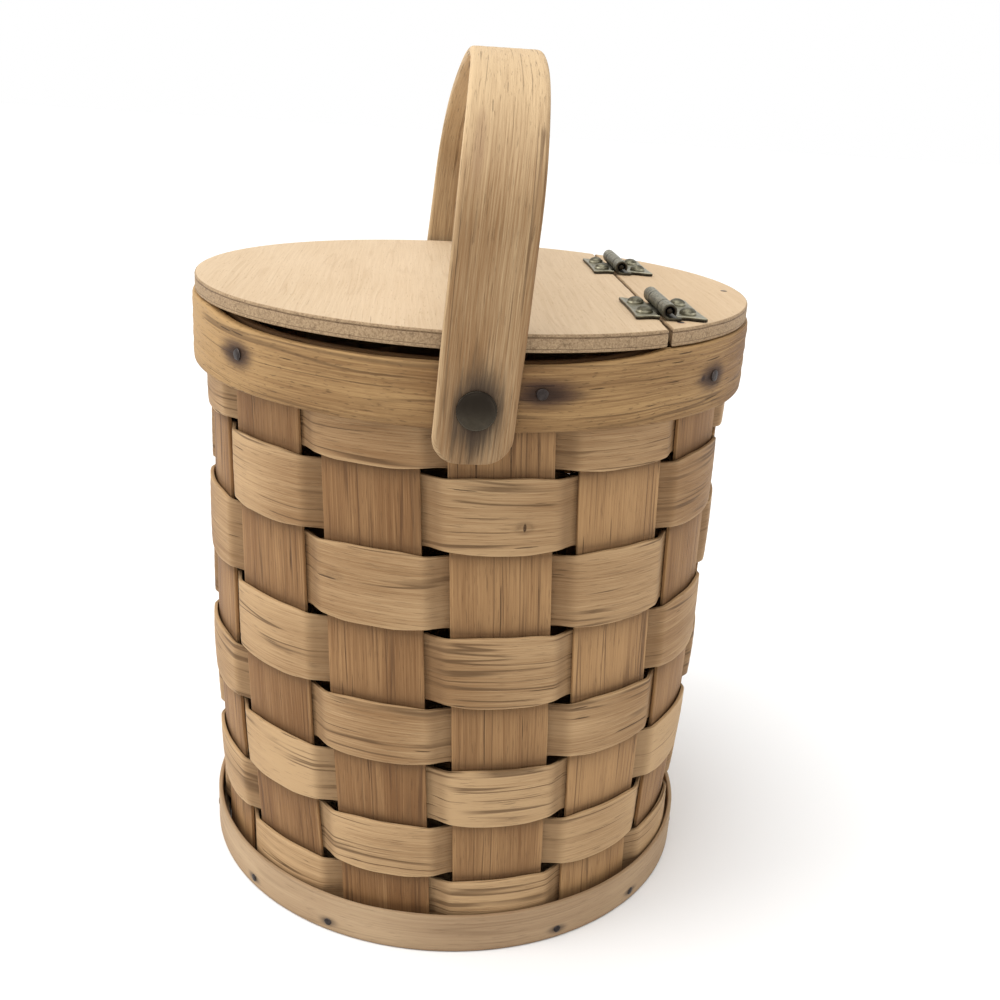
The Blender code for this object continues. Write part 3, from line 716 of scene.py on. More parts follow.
def makeUpright(index):
    # a splint from foot to rim, leaning round the basket, with painted shade beside and under the weavers
    # that pass outside it, and under the rim
    height = np.linspace(splint["foot"], shape["uprightTop"], splint["steps"])
    section = stripSection(shape["uprightWall"], splint["corner"], 26, 16)
    ragged = splint["ragged"] * (1 + wander(height * 30, 40 + index, (1, 2, 4)))
    half = shape["uprightHalf"] - splint["trim"] - ragged
    across, out = sectionPlace(section, half)
    level = height[:, None]
    azimuth = index * pitch + lean(level) + across / shape["body"]
    crown = splint["crown"] * (across / shape["uprightHalf"]) ** 2
    lift = ridges(level * 60, across, 300 + index, *splint["ripples"]) - crown
    radius = splintRadius(level) + out + np.minimum(lift, splint["mostLift"])
    uv = grainUv(height, across, out, section, 20 + 1.37 * index)
    levels = np.array(rowLevels)
    row = np.clip(np.searchsorted(-levels, -level), 1, 8)
    away = np.minimum(np.abs(levels[row - 1] - level), np.abs(level - levels[row]))
    hidden = (row + index) % 2 == 0
    # painted shade: darker near each row's edge, where the covering weavers hide the upright, and under the
    # rim
    shadeAndSoil = 0.9 * np.exp(-away / splint["shadeNear"]) + 0.3 * np.exp(-away / splint["shadeFar"])
    shadeAndSoil = np.where(hidden, 0.7, shadeAndSoil) + 0.5 * smoothStep(level, *splint["rimShade"])
    edges = np.exp(-(half[:, None] - np.abs(across)) / splint["edgeTone"])
    tone = splint["tones"][index] + 0.5 * wander(across * 260, 90 + index, (1, 2, 3)) + edges
    fields = {"shadeAndSoil": shadeAndSoil * (out > -0.0003), "tone": tone + 0 * level}
    return gridShell(onWall(azimuth, radius, level + 0 * across), uv, False, fields)


for index in range(shape["uprights"]):
    number = f"{index + 1:02d}"
    makePiece("uprightSplint" + number, [makeUpright(index)], uprightWood, ["upright_" + number])
print("stage: uprights")

weaver = {
    "steps": 52,
    "gap": 0.0004,
    "wall": 0.0015,
    "corner": 0.0003,
    "narrow": 0.0011,
    "ragged": 0.0002,
    "drop": 0.002,
    "overDrop": 0.0002,
    "crown": 0.1,
    "ripples": (0.00005, 0.0045),
    "gapShade": (0.76, 0.98),
    "rimShade": (0.219, 0.2255),
    "edgeTone": 0.0006,
    # tone offsets per row: rows 6 to 8 lighter, painted light bounced up from the floor; rows 2 and 3 a
    # little darker
    "tones": (0.0, -0.1, -0.3, 0.0, 0.0, 1.4, 0.6, 0.6),
}


def makeWeaver(row):
    # a hoop that passes over and under the uprights, a little narrower where it crosses between them;
    # behind, its lower edge drops on to the row below, so that no light shines through
    count = shape["uprights"] * weaver["steps"]
    top, bottom = rowLevels[row - 1] - weaver["gap"], rowLevels[row] + weaver["gap"]
    centre = (top + bottom) / 2
    seam = lean(centre) + pitch * (7 + row % 2) - turn
    azimuths = seam + np.arange(count) / count * turn
    reach, side = crossing(azimuths, centre, row)
    front = 0.25 + 0.75 * smoothStep(np.cos(azimuths), -0.2, 0.25)
    narrow = weaver["narrow"] * front * smoothStep(reach, 0.35, 1.0)
    ragged = weaver["ragged"] * front
    high = top - narrow - ragged * (1 + wander(azimuths, 11 * row, (9, 17, 29, 43)))
    low = bottom + narrow + ragged * (1 + wander(azimuths, 11 * row + 5, (8, 19, 31, 47)))
    behind = (1 - front) / 0.75 * (row < 8)
    outside = smoothStep(side * weaveOffset(reach), 0.0006, 0.0016)
    low = low - behind * (weaver["drop"] + weaver["overDrop"] * outside)
    section = stripSection(weaver["wall"], weaver["corner"], 24, 14)
    across, out = sectionPlace(section, (high - low) / 2)
    height = (high + low)[:, None] / 2 + across
    angle = azimuths[:, None]
    reach, side = crossing(angle, height, row)
    bulge = side * weaveOffset(reach) * (1 - weaver["crown"] * section["share"] ** 2)
    middle = onWall(angle, splintRadius(height) + bulge, height)
    tangent = np.roll(middle, -1, 0) - np.roll(middle, 1, 0)
    normal = np.stack([tangent[..., 1], -tangent[..., 0], 0 * out], axis=-1)
    normal /= np.linalg.norm(normal, axis=-1)[..., None]
    lift = ridges(angle, across, 500 + row, *weaver["ripples"]) * (out > 0)
    points = middle + normal * (out + lift)[..., None]
    along = np.append(azimuths, seam + turn) * shape["body"]
    uv = grainUv(along, across, out, section, 3.7 * row)
    # painted shade: darker where the weaver passes behind its upright, towards the middle of each gap where
    # it turns in, and under the rim
    shadeAndSoil = np.where(side < 0, 0.75, 0.75 * smoothStep(reach, *weaver["gapShade"]))
    shadeAndSoil = shadeAndSoil + 0.3 * smoothStep(height, *weaver["rimShade"])
    cut = 1.3 * np.exp(-((high - low)[:, None] / 2 - np.abs(across)) / weaver["edgeTone"])
    tone = wander(angle, 800 + row, (5, 8, 13))
    tone = tone + 0.3 * wander(across * 300 + angle, 820 + row, (1, 2))
    # the row's offset adds painted light to the lower rows
    tone = tone + cut * (side > 0) + weaver["tones"][row - 1]
    return gridShell(points, uv, True, {"shadeAndSoil": shadeAndSoil, "tone": tone})


for row in range(1, 9):
    makePiece(f"weaverHoop{row}", [makeWeaver(row)], weaverWood, [f"weaver_{row}"])
print("stage: weavers")

# a stain is its length ahead and behind, its width and its strength
rim = {
    "radius": 0.11315,
    "bottom": 0.2229,
    "wall": 0.0043,
    "corner": 0.0011,
    "grainRadius": 0.113,
    "ripples": ((61, 0.00013, 0.0062), (67, 0.00006, 0.0023)),
    "kink": (0.00016, math.radians(-16.5), math.radians(4)),
    "mostLift": 0.0002,
    "inset": 0.00012,
    "tackLevel": 0.2368,
    "tackShares": (0.6, -0.5, 0.2, -0.3, 0.4, 0.1, -0.15),
    "firstStain": (0.016, 0.01, 0.0055, 1.0),
    "stain": (0.009, 0.012, 0.0055, 1.0),
    "oldHole": (math.radians(47.3), 0.237, 0.0025, 0.0025, 0.0022, 1.0),
}
rimTacks = [
    2 * number * pitch + lean(rim["tackLevel"]) + share * halfAngle
    for number, share in enumerate(rim["tackShares"])
]
stains = [(rimTacks[0], rim["tackLevel"], *rim["firstStain"]), rim["oldHole"]]
stains += [(azimuth, rim["tackLevel"], *rim["stain"]) for azimuth in rimTacks[1:]]
azimuths = np.arange(900) / 900 * turn - math.pi


def rimLift(angle, across):
    # grain ripples, and a kink just left of the handle
    size, centre, spread = rim["kink"]
    away = np.remainder(angle - centre + math.pi, turn) - math.pi
    kink = size * np.exp(-((away / spread) ** 2)) * np.sin(away * 110 + across * 500)
    coarse, fine = (ridges(angle, across, *ripples) for ripples in rim["ripples"])
    return np.minimum(coarse + fine + kink, rim["mostLift"]) - rim["inset"]


def bandTone(seed, pale=0.0):
    # slow changes round the band, painted light that makes the band lighter on its left side, and a pale
    # upper edge
    def tone(angle, height, across):
        # the tone at each point
        changes = wander(angle, seed, (3, 7, 11)) + 0.4 * wander(across * 250 + angle, seed + 3, (1, 2, 3))
        # painted light: lighter towards -x, the side the key light comes from
        changes = changes - 0.5 * pale * np.sin(angle)
        return changes + pale * np.exp((height - rimEdge(angle + 0 * height)) / 0.0012)
    return tone


def bandEdgeDarkening(bottom, reach, top=None):
    # exp(-distance / reach) from the lower edge, and a little at the upper edge where asked
    def shadeAndSoil(angle, height, across):
        # the darkening at each point
        low = 0.8 * np.exp(-(height - bottom) / reach)
        return low if top is None else low + 0.25 * np.exp(-(top - height) / reach)
    return shadeAndSoil


facts = {
    "lift": rimLift,
    "length": rim["grainRadius"],
    "shift": 40.0,
    "fields": {
        "iron": ironField(stains, rim["grainRadius"]),
        "tone": bandTone(21, 1.6),
        "shadeAndSoil": bandEdgeDarkening(rim["bottom"], 0.0015),
    },
}
wobble = 0.0003 * (1 + wander(azimuths, 15, (6, 13, 23)))
low, high = rim["bottom"] + wobble[::-1] * 0.5, rimEdge(azimuths) - wobble * 0.6
section = stripSection(rim["wall"], rim["corner"], 40, 16, 4)
shell = hoopShell(azimuths, low, high, lambda height: rim["radius"], section, facts)
makePiece("rimBand", [shell], bandWood, ["rim_band_outer"])

hoop = {
    "bottom": 0.2265,
    "wall": 0.0029,
    "corner": 0.0008,
    "inset": 0.00195,
    "belowRim": 0.0001,
    "tone": 1.5,
}


def hoopRadius(height):
    # the uprights' inner face, times cos(half angle / 4), less the inset of the hoop's middle
    inside = splintRadius(np.minimum(height, shape["flareEnd"])) - shape["uprightWall"] / 2
    return inside * math.cos(halfAngle / 4) - hoop["inset"]


facts = {
    "length": shape["body"],
    "shift": 50.0,
    "fields": {
        "tone": bandTone(33),
        # the whole hoop darkened evenly
        "shadeAndSoil": lambda angle, height, across: hoop["tone"] + 0 * angle + 0 * height,
    },
}
section = stripSection(hoop["wall"], hoop["corner"], 20, 20)
low, high = np.full_like(azimuths, hoop["bottom"]), rimEdge(azimuths) - hoop["belowRim"]
shell = hoopShell(azimuths, low, high, hoopRadius, section, facts)
makePiece("innerHoop", [shell], bandWood, ["rim_band_inner"])

foot = {
    "radius": 0.10872,
    "top": 0.0175,
    "wall": 0.0019,
    "corner": 0.0006,
    "grainRadius": 0.1086,
    "ripples": (0.00005, 0.004),
    "fill": 0.0026,
    "fillLevels": (0.0055, 0.0078),
    "tackLevel": 0.0042,
    "tackDegrees": (-49.5, -26.5, 25, 47.5, 80, 112, 145, 178, 211, 245, 278),
    "stain": (0.0048, 0.0048, 0.0022, 0.85),
}
footTacks = [math.radians(degrees) for degrees in foot["tackDegrees"]]
stains = [(azimuth, foot["tackLevel"], *foot["stain"]) for azimuth in footTacks]
facts = {
    "lift": lambda angle, across: ridges(angle, across, 71, *foot["ripples"]) - foot["ripples"][0],
    "fill": lambda height: foot["fill"] * (1 - smoothStep(height, *foot["fillLevels"])),
    "length": foot["grainRadius"],
    "shift": 60.0,
    "fields": {
        "iron": ironField(stains, foot["grainRadius"]),
        "tone": bandTone(45),
        "shadeAndSoil": bandEdgeDarkening(0.0, 0.0012, foot["top"]),
    },
}
section = stripSection(foot["wall"], foot["corner"], 26, 14)
wobble = 0.00025 * (1 + wander(azimuths, 19, (5, 11, 21)))
shell = hoopShell(azimuths, 0 * azimuths, foot["top"] - wobble, lambda height: foot["radius"], section, facts)
makePiece("footBand", [shell], footWood, ["foot_band"])

base = {"radius": 0.1025, "thick": 0.008, "corner": 0.0008}
azimuth = np.arange(360) / 360 * turn
outline = base["radius"] * np.stack([np.cos(azimuth), np.sin(azimuth)], axis=-1)
makePiece("baseBoard", [slabShell(outline, 0.0, base["thick"], base["corner"])], baseWood, ["base_disc"])
print("stage: bands and base")

lid = {
    "radius": 0.1143,
    "bottom": 0.2506,
    "top": 0.257,
    "corner": 0.0007,
    "flapEdge": 0.0648,
    "fixedEdge": 0.0654,
    "turn": math.radians(1.65),
    "rough": 0.00016,
    "ragged": 0.0001,
    "edgeRagged": 0.00008,
    "frontWear": 0.0004,
    "wearLevels": (0.073, 0.088),
    "fixedTone": 0.9,
}


def turned(shell):
    # the same shell, turned about the basket's axis like the slit and the hinge line
    about = np.array(Matrix.Rotation(lid["turn"], 3, "Z"))
    return shell | {"points": shell["points"] @ about.T}


def boardOutline(edge, side):
    # the part of the lid's circle on one side of the line x = edge, anticlockwise; the points beside
    # its two sharp corners are left out, so that the rounding there doesn't fold
    reach = math.acos(edge / lid["radius"])
    worn = lid["edgeRagged"] + lid["frontWear"]
    front, rear = (math.acos((edge + side * back) / lid["radius"]) for back in (worn, lid["edgeRagged"]))
    low, high = (rear, turn - front) if side < 0 else (-front, rear)
    around = np.delete(np.linspace(low, high, round((high - low) / 0.0085)), [1, -2])
    radius = lid["radius"] - lid["ragged"] * (1 + wander(around, 27, (7, 19, 41, 83)))
    arc = radius[:, None] * np.stack([np.cos(around), np.sin(around)], axis=-1)
    level = lid["radius"] * math.sin(reach) * np.linspace(-1, 1, 150)[2:-2] * -side
    back = lid["edgeRagged"] * (1 + wander(level * 120, 29, (1, 3, 7)))
    back = back + lid["frontWear"] * smoothStep(-level, *lid["wearLevels"])
    return np.concatenate([arc, np.stack([edge + side * back, level], axis=-1)])


for name, edge, side, body, node in (
    ("lidFlapBoard", lid["flapEdge"], -1, "flap", "lid_flap"),
    ("lidFixedBoard", lid["fixedEdge"], 1, "basket", "lid_fixed"),
):
    outline = boardOutline(edge, side)
    shell = slabShell(outline, lid["bottom"], lid["top"], lid["corner"], lid["rough"], seed=side + 9)
    if body == "basket":
        shell["fields"]["tone"] = shell["fields"]["tone"] - lid["fixedTone"]
    makePiece(name, [turned(shell)], lidWood, [node], body, 65)
print("stage: lid")

bow = {
    "half": 0.0141,
    "wall": 0.0038,
    "corner": 0.0016,
    "end": 0.0095,
    "pivot": 0.2318,
    "tail": 0.019,
    "leg": 0.0602,
    "rise": 0.0541,
    "middle": 0.11801,
    "leans": (math.radians(3.5), math.radians(6.1), math.radians(5.15)),
    "turn": math.radians(2.5),
    "endSteps": (0.0, 0.0002, 0.0006, 0.0012, 0.002, 0.003, 0.0042, 0.0056, 0.0072, 0.009),
    "steps": 330,
    "ripples": (0.00006, 0.0052),
    "ragged": 0.00015,
    "stain": (0.0165, 0.018, 0.0095),
    "paleFrom": (0.055, 0.12),
    "leftEdge": 0.0014,
    "rightEdge": 0.0015,
}


def onPivot(shell):
    # the same shell, moved from the basket's middle to the handle's pivot line and turned with it
    about = np.array(Matrix.Rotation(bow["turn"], 3, "Z"))
    offset = np.array([bow["middle"] * math.sin(bow["turn"]), 0, 0])
    return shell | {"points": (shell["points"] - offset) @ about.T}


def makeHandle():
    # a flat strip up the front leg, over an elliptical bow and down the back leg, its ends rounded
    sweep = np.linspace(0, math.pi, 400)
    legUp = np.linspace(-bow["tail"], bow["leg"], 120)[:-1]
    straight = np.ones(len(legUp))
    pathY = np.concatenate([-straight, -np.cos(sweep), straight]) * bow["middle"]
    pathZ = np.concatenate([legUp, bow["leg"] + bow["rise"] * np.sin(sweep), legUp[::-1]])
    length = np.concatenate([[0], np.cumsum(np.hypot(np.diff(pathY), np.diff(pathZ)))])
    total = length[-1]
    near = np.array(bow["endSteps"])
    first = near[-1] + 0.0012
    along = np.concatenate([near, np.linspace(first, total - first, bow["steps"]), total - near[::-1]])
    y, z = np.interp(along, length, pathY), np.interp(along, length, pathZ)
    fine = 0.0004
    slopeY = np.interp(along + fine, length, pathY) - np.interp(along - fine, length, pathY)
    slopeZ = np.interp(along + fine, length, pathZ) - np.interp(along - fine, length, pathZ)
    size = np.hypot(slopeY, slopeZ)
    outY, outZ = -slopeZ / size, slopeY / size
    fromEnd = np.minimum(along, total - along)
    inside = np.clip(bow["end"] - fromEnd, 0, None)
    half = bow["half"] - bow["end"] + np.sqrt(bow["end"] ** 2 - inside**2 * 0.9999)
    half = half - bow["ragged"] * (1 + wander(along * 24, 35, (1, 2, 5)))
    section = stripSection(bow["wall"], bow["corner"], 26, 22, 4)
    across, out = sectionPlace(section, half)
    thin = 1 - 0.35 * (1 - np.clip(fromEnd / 0.001, 0, 1)[:, None]) ** 2
    lift = ridges(along[:, None] * 20, across, 37, *bow["ripples"]) - bow["ripples"][0]
    reach = out * thin + lift * np.sign(out)
    localY = y[:, None] + outY[:, None] * reach
    localZ = z[:, None] + outZ[:, None] * reach
    slants = np.polyfit([-bow["middle"], 0, bow["middle"]], np.tan(bow["leans"]), 2)
    x = across + localZ * np.polyval(slants, localY)
    points = np.stack([x, localY, bow["pivot"] + localZ], axis=-1)
    uv = grainUv(along, across, out, section, 70.0)
    fromRivet = np.where(along < total / 2, along - bow["tail"], total - bow["tail"] - along)[:, None]
    ahead, behind, wide = bow["stain"]
    long = np.where(fromRivet > 0, ahead, behind)
    stain = np.exp(-((fromRivet / long) ** 2) - (across / wide) ** 2) * (out > 0)
    # painted shade: the legs darker from 5 cm above the rivets downward
    low = 0.35 * smoothStep(-fromRivet, -0.05, 0.0)
    # painted light: the bow paler towards its top
    pale = 1.6 * smoothStep(fromRivet, *bow["paleFrom"]) - 0.5
    tone = 0.5 * wander(along[:, None] * 12, 39, (1, 2, 3)) + 0.25 * wander(across * 240, 41, (1, 2, 3))
    tone = tone + pale - 0.25 * low
    # painted highlight along the left edge, and painted shade along the right edge
    tone = tone + 1.1 * np.exp(-(half[:, None] + across) / bow["leftEdge"])
    tone = tone - 0.5 * np.exp(-(half[:, None] - across) / bow["rightEdge"])
    # darker near the ends and on the inner face, with the painted shade low on the legs
    shadeAndSoil = 0.35 * np.exp(-fromEnd[:, None] / 0.004) + low * 0.4 + 0.18 * (out < 0)
    return gridShell(points, uv, False, {"iron": stain * 0.95, "tone": tone, "shadeAndSoil": shadeAndSoil})


makePiece("handleBow", [onPivot(makeHandle())], handleWood, ["handle"], "handle")
print("stage: handle")

# each profile is a list of (radius, height)
rivet = {
    "seat": 0.12,
    "head": (
        (0.0002, 0.0021), (0.0016, 0.00204), (0.0031, 0.00187), (0.0045, 0.00156), (0.0055, 0.0012),
        (0.0061, 0.00088), (0.0063, 0.00074), (0.0065, 0.00072), (0.0067, 0.00066), (0.00686, 0.00052),
        (0.0069, 0.00035), (0.0069, 0.0),
    ),
    "shank": (
        (0.00225, 0.0), (0.00225, -0.0195), (0.0032, -0.0197), (0.0034, -0.0202), (0.0026, -0.0208),
        (0.0002, -0.021),
    ),
    "grimeAndShade": 0.85,
    "paintedShadeLevels": (-0.0065, 0.0025),
    "washerFrom": 0.10104,
    "washerTo": 0.10184,
    "washerHole": 0.0027,
    "washerRadius": 0.0055,
    "washerCorner": 0.0002,
}
thick = rivet["washerTo"] - rivet["washerFrom"]
rimOfWasher = rivet["washerRadius"] - rivet["washerCorner"]
washer = [
    (rivet["washerHole"], 0.0),
    (rimOfWasher, 0.0),
    (rivet["washerRadius"], rivet["washerCorner"]),
    (rivet["washerRadius"], thick - rivet["washerCorner"]),
    (rimOfWasher, thick),
    (rivet["washerHole"], thick),
]
for label, azimuth in (("Front", 0.0), ("Back", math.pi)):
    axes = wallAxes(azimuth)
    seat = onWall(azimuth, rivet["seat"], bow["pivot"])
    head = turnedShell(rivet["head"] + rivet["shank"], 64, seat, axes, 0.006, 3)
    # painted reflection: the head darker towards its top and lighter below, as if mirroring the dark above
    # and the pale floor below
    grimeAndShade = smoothStep(head["points"][:, 2] - bow["pivot"], *rivet["paintedShadeLevels"])
    head["fields"]["grimeAndShade"] = rivet["grimeAndShade"] * grimeAndShade
    makePiece("rivet" + label, [onPivot(head)], rivetBronze, ["rivet_" + label.lower()])
    seat = onWall(azimuth, rivet["washerFrom"], bow["pivot"])
    ring = onPivot(turnedShell(washer, 40, seat, axes))
    makePiece("rivetWasher" + label, [ring], rivetBronze, ["rivet_washer_" + label.lower()])

# a dome is its radius, height, lip, steps and power
tack = {
    "rimDome": (0.0021, 0.00085, 0.00025, 8, 0.7),
    "rimSeat": 0.11525,
    "rimDents": 0.09,
    "footDome": (0.0016, 0.0005, 0.00015, 7, 0.7),
    "footSeat": 0.1096,
    "footDents": 0.08,
    "bradDome": (0.0014, 0.00016, 0.00008, 6),
    "bradSeat": (0.10709, 0.25699),
    "bradDents": 0.05,
    "bradDegrees": (43.6, 90, 136.4),
}
upAxes = np.eye(3)
profile = domeProfile(*tack["rimDome"])
for number, azimuth in enumerate(rimTacks):
    seat = onWall(azimuth, tack["rimSeat"], rim["tackLevel"])
    shell = turnedShell(profile, 28, seat, wallAxes(azimuth), tack["rimDents"], 60 + number)
    makePiece(f"rimTack{number + 1}", [shell], iron, [f"rim_tack_{number + 1}"])
profile = domeProfile(*tack["footDome"])
for number, azimuth in enumerate(footTacks):
    seat = onWall(azimuth, tack["footSeat"], foot["tackLevel"])
    shell = turnedShell(profile, 24, seat, wallAxes(azimuth), tack["footDents"], 90 + number)
    makePiece(f"footTack{number + 1}", [shell], iron)
profile = domeProfile(*tack["bradDome"])
for number, degrees in enumerate(tack["bradDegrees"]):
    seat = onWall(math.radians(degrees), *tack["bradSeat"])
    shell = turnedShell(profile, 24, seat, upAxes, tack["bradDents"], number)
    makePiece(f"lidBrad{number + 1}", [shell], iron, [f"lid_brad_{number + 1}"])
print("stage: rivets and tacks")

hinge = {
    "axisX": 0.0675,
    "axisZ": 0.2606,
    "bottom": 0.2573,
    "top": 0.2583,
    "wall": 0.001,
    "length": 0.038,
    "middle": 0.018,
    "ring": 0.0022,
    "plateEnd": 0.0031,
    "reach": {"flap": 0.0123, "fixed": 0.0142},
    "centres": {"front": -0.0597, "back": 0.0452},
    "rootHalf": 0.017,
    "waist": 0.0004,
    "spread": 0.002,
    "scallop": 0.0005,
    "corner": 0.00028,
    "lip": 0.00028,
    "lipFrom": (0.0008, 0.0017),
    "rings": (0.02, 0.2, 0.4, 0.6, 0.7, 0.76, 0.81, 0.85, 0.88, 0.91, 0.94, 0.97, 0.99),
    "ease": 0.0006,
    "lead": (-0.0046, -0.0004),
    "gaps": {"flap": 0.0001, "fixed": 0.0002},
    "pin": 0.0011,
    "pinInset": 0.0003,
}
nail = {
    "dome": (0.00325, 0.0024, 0.0001, 14, 1.0),
    "level": 0.25835,
    "spacing": 0.0095,
    "x": {"flap": 0.06, "fixed": 0.0764},
    "dents": 0.03,
}


def leafWidth(share):
    # half the leaf: 17 mm at the barrel, a slight waist, 19 mm at its outer end
    waist = hinge["waist"] * np.sin(math.pi * np.minimum(share * 1.25, 1))
    return hinge["rootHalf"] - waist + hinge["spread"] * smoothStep(share, 0.2, 1.0)


def leafOutline(centre, side, reach):
    # a plate with slightly waisted sides and a slightly scalloped end
    share = np.linspace(0, 1, 40)
    width = leafWidth(share)
    x = hinge["plateEnd"] + (reach - hinge["plateEnd"]) * share
    across = np.linspace(-1, 1, 60)[1:-1]
    end = reach - hinge["scallop"] * np.cos(across * math.pi / 2) ** 0.8
    root = np.linspace(1, -1, 40)[1:-1]
    xs = np.concatenate([x, end, x[::-1], np.full(len(root), hinge["plateEnd"])])
    ys = np.concatenate([-width, across * width[-1], width[::-1], root * width[0]])
    points = np.stack([hinge["axisX"] + side * xs, centre + ys], axis=-1)
    return points if side > 0 else points[::-1]


def curlShell(low, high, side):
    # a tongue that rolls round the pin: the radius eases from 2.8 mm under the pin to 2.2 mm, then stays
    roll = np.radians(np.concatenate([np.linspace(0, 90, 16), np.linspace(90, 305, 40)[1:]]))
    radius = hinge["ring"] + hinge["ease"] * np.clip(1 - roll / (math.pi / 2), 0, 1) ** 1.5
    lead = np.linspace(*hinge["lead"], 8)
    x = np.concatenate([lead, radius * np.sin(roll)])
    z = np.concatenate([np.full(len(lead), -radius[0]), -radius * np.cos(roll)])
    tangent = np.stack([np.gradient(x), np.gradient(z)], axis=-1)
    tangent /= np.linalg.norm(tangent, axis=1)[:, None]
    half = (high - low) / 2
    section = stripSection(hinge["wall"] * 0.98, 0.0002, 14, 14, 2)
    across, out = sectionPlace(section, np.full(len(x), half))
    px = x[:, None] + tangent[:, 1:2] * out
    pz = z[:, None] - tangent[:, 0:1] * out
    points = [hinge["axisX"] - side * px, (low + high) / 2 + across, hinge["axisZ"] + pz]
    length = np.concatenate([[0], np.cumsum(np.hypot(np.diff(x), np.diff(z)))])
    # dark knuckle joints at each knuckle's ends, painted shade on the inner face of the roll, and painted
    # light on its upper side
    sides = smoothStep(np.abs(across), half - 0.0004, half - 0.0001)
    inside = (out < 0) * (0.2 + 0.8 * smoothStep(length[:, None], 0.0052, 0.0066))
    worn = 0.62 * smoothStep(pz, 0.0, 0.002) + 0 * out
    fields = {"edge": worn, "grimeAndShade": np.maximum(sides * 0.5, inside)}
    uv = grainUv(length, across, out, section, 0.0)
    return gridShell(np.stack(points, axis=-1), uv, False, fields)


def makeLeaf(label, which):
    # the flap's leaf carries the middle knuckle, the fixed leaf the two outer ones
    centre, reach = hinge["centres"][label], hinge["reach"][which]
    side = -1 if which == "flap" else 1
    tip = hinge["axisX"] + side * reach
    bottom, top = hinge["bottom"], hinge["top"]

    def lip(x, y):
        # a raised rim, by how far a point lies in from the leaf's outer end or its sides
        share = (side * (x - hinge["axisX"]) - hinge["plateEnd"]) / (reach - hinge["plateEnd"])
        inset = np.minimum(np.abs(x - tip), leafWidth(np.clip(share, 0, 1)) - np.abs(y - centre))
        return hinge["lip"] * (1 - smoothStep(inset, *hinge["lipFrom"]))

    outline = leafOutline(centre, side, reach)
    plate = slabShell(outline, bottom, top, hinge["corner"], bend=lip, inner=hinge["rings"])
    level = plate["points"][:, 2]
    # painted light on the plate's top face and painted shade on its sides
    plate["fields"]["edge"] = smoothStep(level, top - 0.0003, top + 0.0001) * 0.8
    plate["fields"]["grimeAndShade"] = 0.85 * (1 - smoothStep(level, top - 0.0005, top - 0.0001))
    inner, outer, gap = hinge["middle"] / 2, hinge["length"] / 2, hinge["gaps"][which]
    spans = [(-inner + gap, inner - gap)]
    if which == "fixed":
        spans = [(-outer, -inner - gap), (inner + gap, outer)]
    return [plate] + [curlShell(centre + low, centre + high, side) for low, high in spans]


half, radius = hinge["length"] / 2 - hinge["pinInset"], hinge["pin"]
pin = [(0.0002, half), (0.0008, half - 0.0001), (radius, half - 0.0004), (radius, 0.0)]
pin += [(radius, 0.0004 - half), (0.0008, 0.0001 - half), (0.0002, -half)]
alongHinge = np.array([[1, 0, 0], [0, 0, 1], [0, -1, 0]], float).T
for label, centre in hinge["centres"].items():
    for which, body in (("flap", "flap"), ("fixed", "basket")):
        leaf = [turned(shell) for shell in makeLeaf(label, which)]
        name = "hingeLeaf" + which.title() + label.title()
        makePiece(name, leaf, bronze, [f"hinge_leaf_{which}_{label}"], body, 40)
    seat = np.array([hinge["axisX"], centre, hinge["axisZ"]])
    shell = turned(turnedShell(pin, 28, seat, alongHinge))
    # the whole pin darkened evenly
    shell["fields"]["grimeAndShade"] = np.full(len(shell["points"]), 0.9)
    makePiece("hingePin" + label.title(), [shell], bronze, ["hinge_pin_" + label], sharp=40)
profile = domeProfile(*nail["dome"])
for which, body in (("flap", "flap"), ("fixed", "basket")):
    places = [centre + end * nail["spacing"] for centre in hinge["centres"].values() for end in (-1, 1)]
    for number, place in enumerate(places, 1):
        seat = np.array([nail["x"][which], place, nail["level"]])
        shell = turned(turnedShell(profile, 48, seat, upAxes, nail["dents"], 140 + number))
        makePiece(f"{which}Nail{number}", [shell], bronze, [f"{which}_nail_{number}"], body)
print("stage: hinges")

stage = {
    "half": 8,
    "level": -0.0002,
    "floor": {"Base Color": (0.93, 0.93, 0.93, 1), "Roughness": 0.9, "Specular IOR Level": 0.1},
    "ambient": 0.44,
    "ambientColour": (1.0, 0.99, 0.97, 1),
}


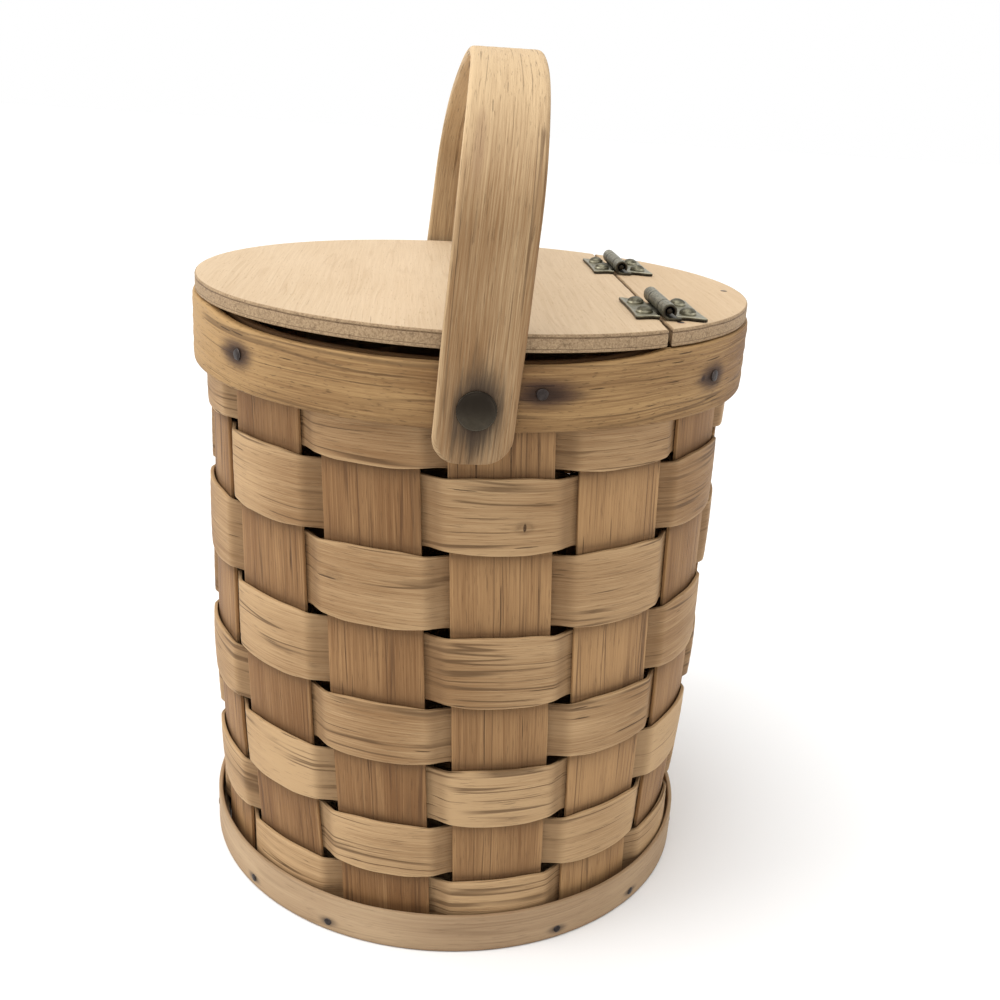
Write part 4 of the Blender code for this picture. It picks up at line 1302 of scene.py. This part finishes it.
def makeStage():
    # a pale floor under soft light; the backdrop is plain white
    mesh = bpy.data.meshes.new("floor")
    half = stage["half"]
    corners = [(-half, -half, 0), (half, -half, 0), (half, half, 0), (-half, half, 0)]
    mesh.from_pydata(corners, [], [(0, 1, 2, 3)])
    floor = bpy.data.objects.new("floor", mesh)
    floor.location = (0, 0, stage["level"])
    made, start, shader = newMaterial("floorPaint")
    finish(start, shader, stage["floor"])
    mesh.materials.append(made)
    bpy.context.scene.collection.objects.link(floor)
    world = bpy.data.worlds.new("backdrop")
    world.use_nodes = True
    tree = world.node_tree
    ambient = tree.nodes["Background"]
    ambient.inputs["Strength"].default_value = stage["ambient"]
    ambient.inputs["Color"].default_value = stage["ambientColour"]
    white = tree.nodes.new("ShaderNodeBackground")
    white.inputs["Color"].default_value = (1, 1, 1, 1)
    rays = Wire(tree).make("LightPath").socket.node.outputs
    kinds = ("Is Camera Ray", "Is Glossy Ray", "Is Transmission Ray")
    camera, glossy, through = (Wire(tree, rays[kind]) for kind in kinds)
    seen = camera + glossy + through
    blend = tree.nodes.new("ShaderNodeMixShader")
    tree.links.new(seen.least(1.0).socket, blend.inputs[0])
    tree.links.new(ambient.outputs[0], blend.inputs[1])
    tree.links.new(white.outputs[0], blend.inputs[2])
    tree.links.new(blend.outputs[0], tree.nodes["World Output"].inputs["Surface"])
    bpy.context.scene.world = world


def makeLight(name, place, target, size, power):
    # a square soft light that looks at the target
    lamp = bpy.data.lights.new(name, "AREA")
    lamp.size = size
    lamp.energy = power
    holder = bpy.data.objects.new(name, lamp)
    holder.location = place
    holder.rotation_euler = (Vector(target) - Vector(place)).to_track_quat("-Z", "Y").to_euler()
    bpy.context.scene.collection.objects.link(holder)


def makeSun(name, direction, spread, strength):
    # an even light from one side of the sky, with soft shadows
    lamp = bpy.data.lights.new(name, "SUN")
    lamp.angle = math.radians(spread)
    lamp.energy = strength
    holder = bpy.data.objects.new(name, lamp)
    holder.rotation_euler = Vector(direction).to_track_quat("Z", "Y").to_euler()
    bpy.context.scene.collection.objects.link(holder)


view = {
    "spin": math.radians(-1.5),
    "right": (0.99805, -0.01388, 0.06086),
    "up": (-0.05253, 0.34008, 0.93893),
    "back": (-0.03373, -0.94029, 0.33869),
    "place": (0, -0.49069, 0.33408),
    "lens": 41.545,
    "shift": (-0.001, 0.001),
}


def makeCamera():
    # the photograph's viewpoint, turned 1.5 degrees about the basket's axis
    place = Matrix.Identity(4)
    for column, name in enumerate(("right", "up", "back", "place")):
        for line in range(3):
            place[line][column] = view[name][line]
    lens = bpy.data.cameras.new("camera")
    lens.lens = view["lens"]
    lens.shift_x, lens.shift_y = view["shift"]
    lens.sensor_width = 36
    lens.clip_start = 0.01
    camera = bpy.data.objects.new("camera", lens)
    camera.matrix_world = Matrix.Rotation(view["spin"], 4, "Z") @ place
    bpy.context.scene.collection.objects.link(camera)
    bpy.context.scene.camera = camera


makeStage()
makeSun("skyLight", (-0.25, -0.1, 1.0), 60, 2.6)
makeLight("keyLight", (-1.5, -0.4, 0.8), (0, 0, 0.15), 0.8, 8.5)
makeLight("fillLight", (1.3, -0.5, 0.6), (0, 0, 0.15), 1.0, 3.5)
makeCamera()
bpy.context.scene.view_settings.view_transform = "Standard"
print("stage: lights and camera")
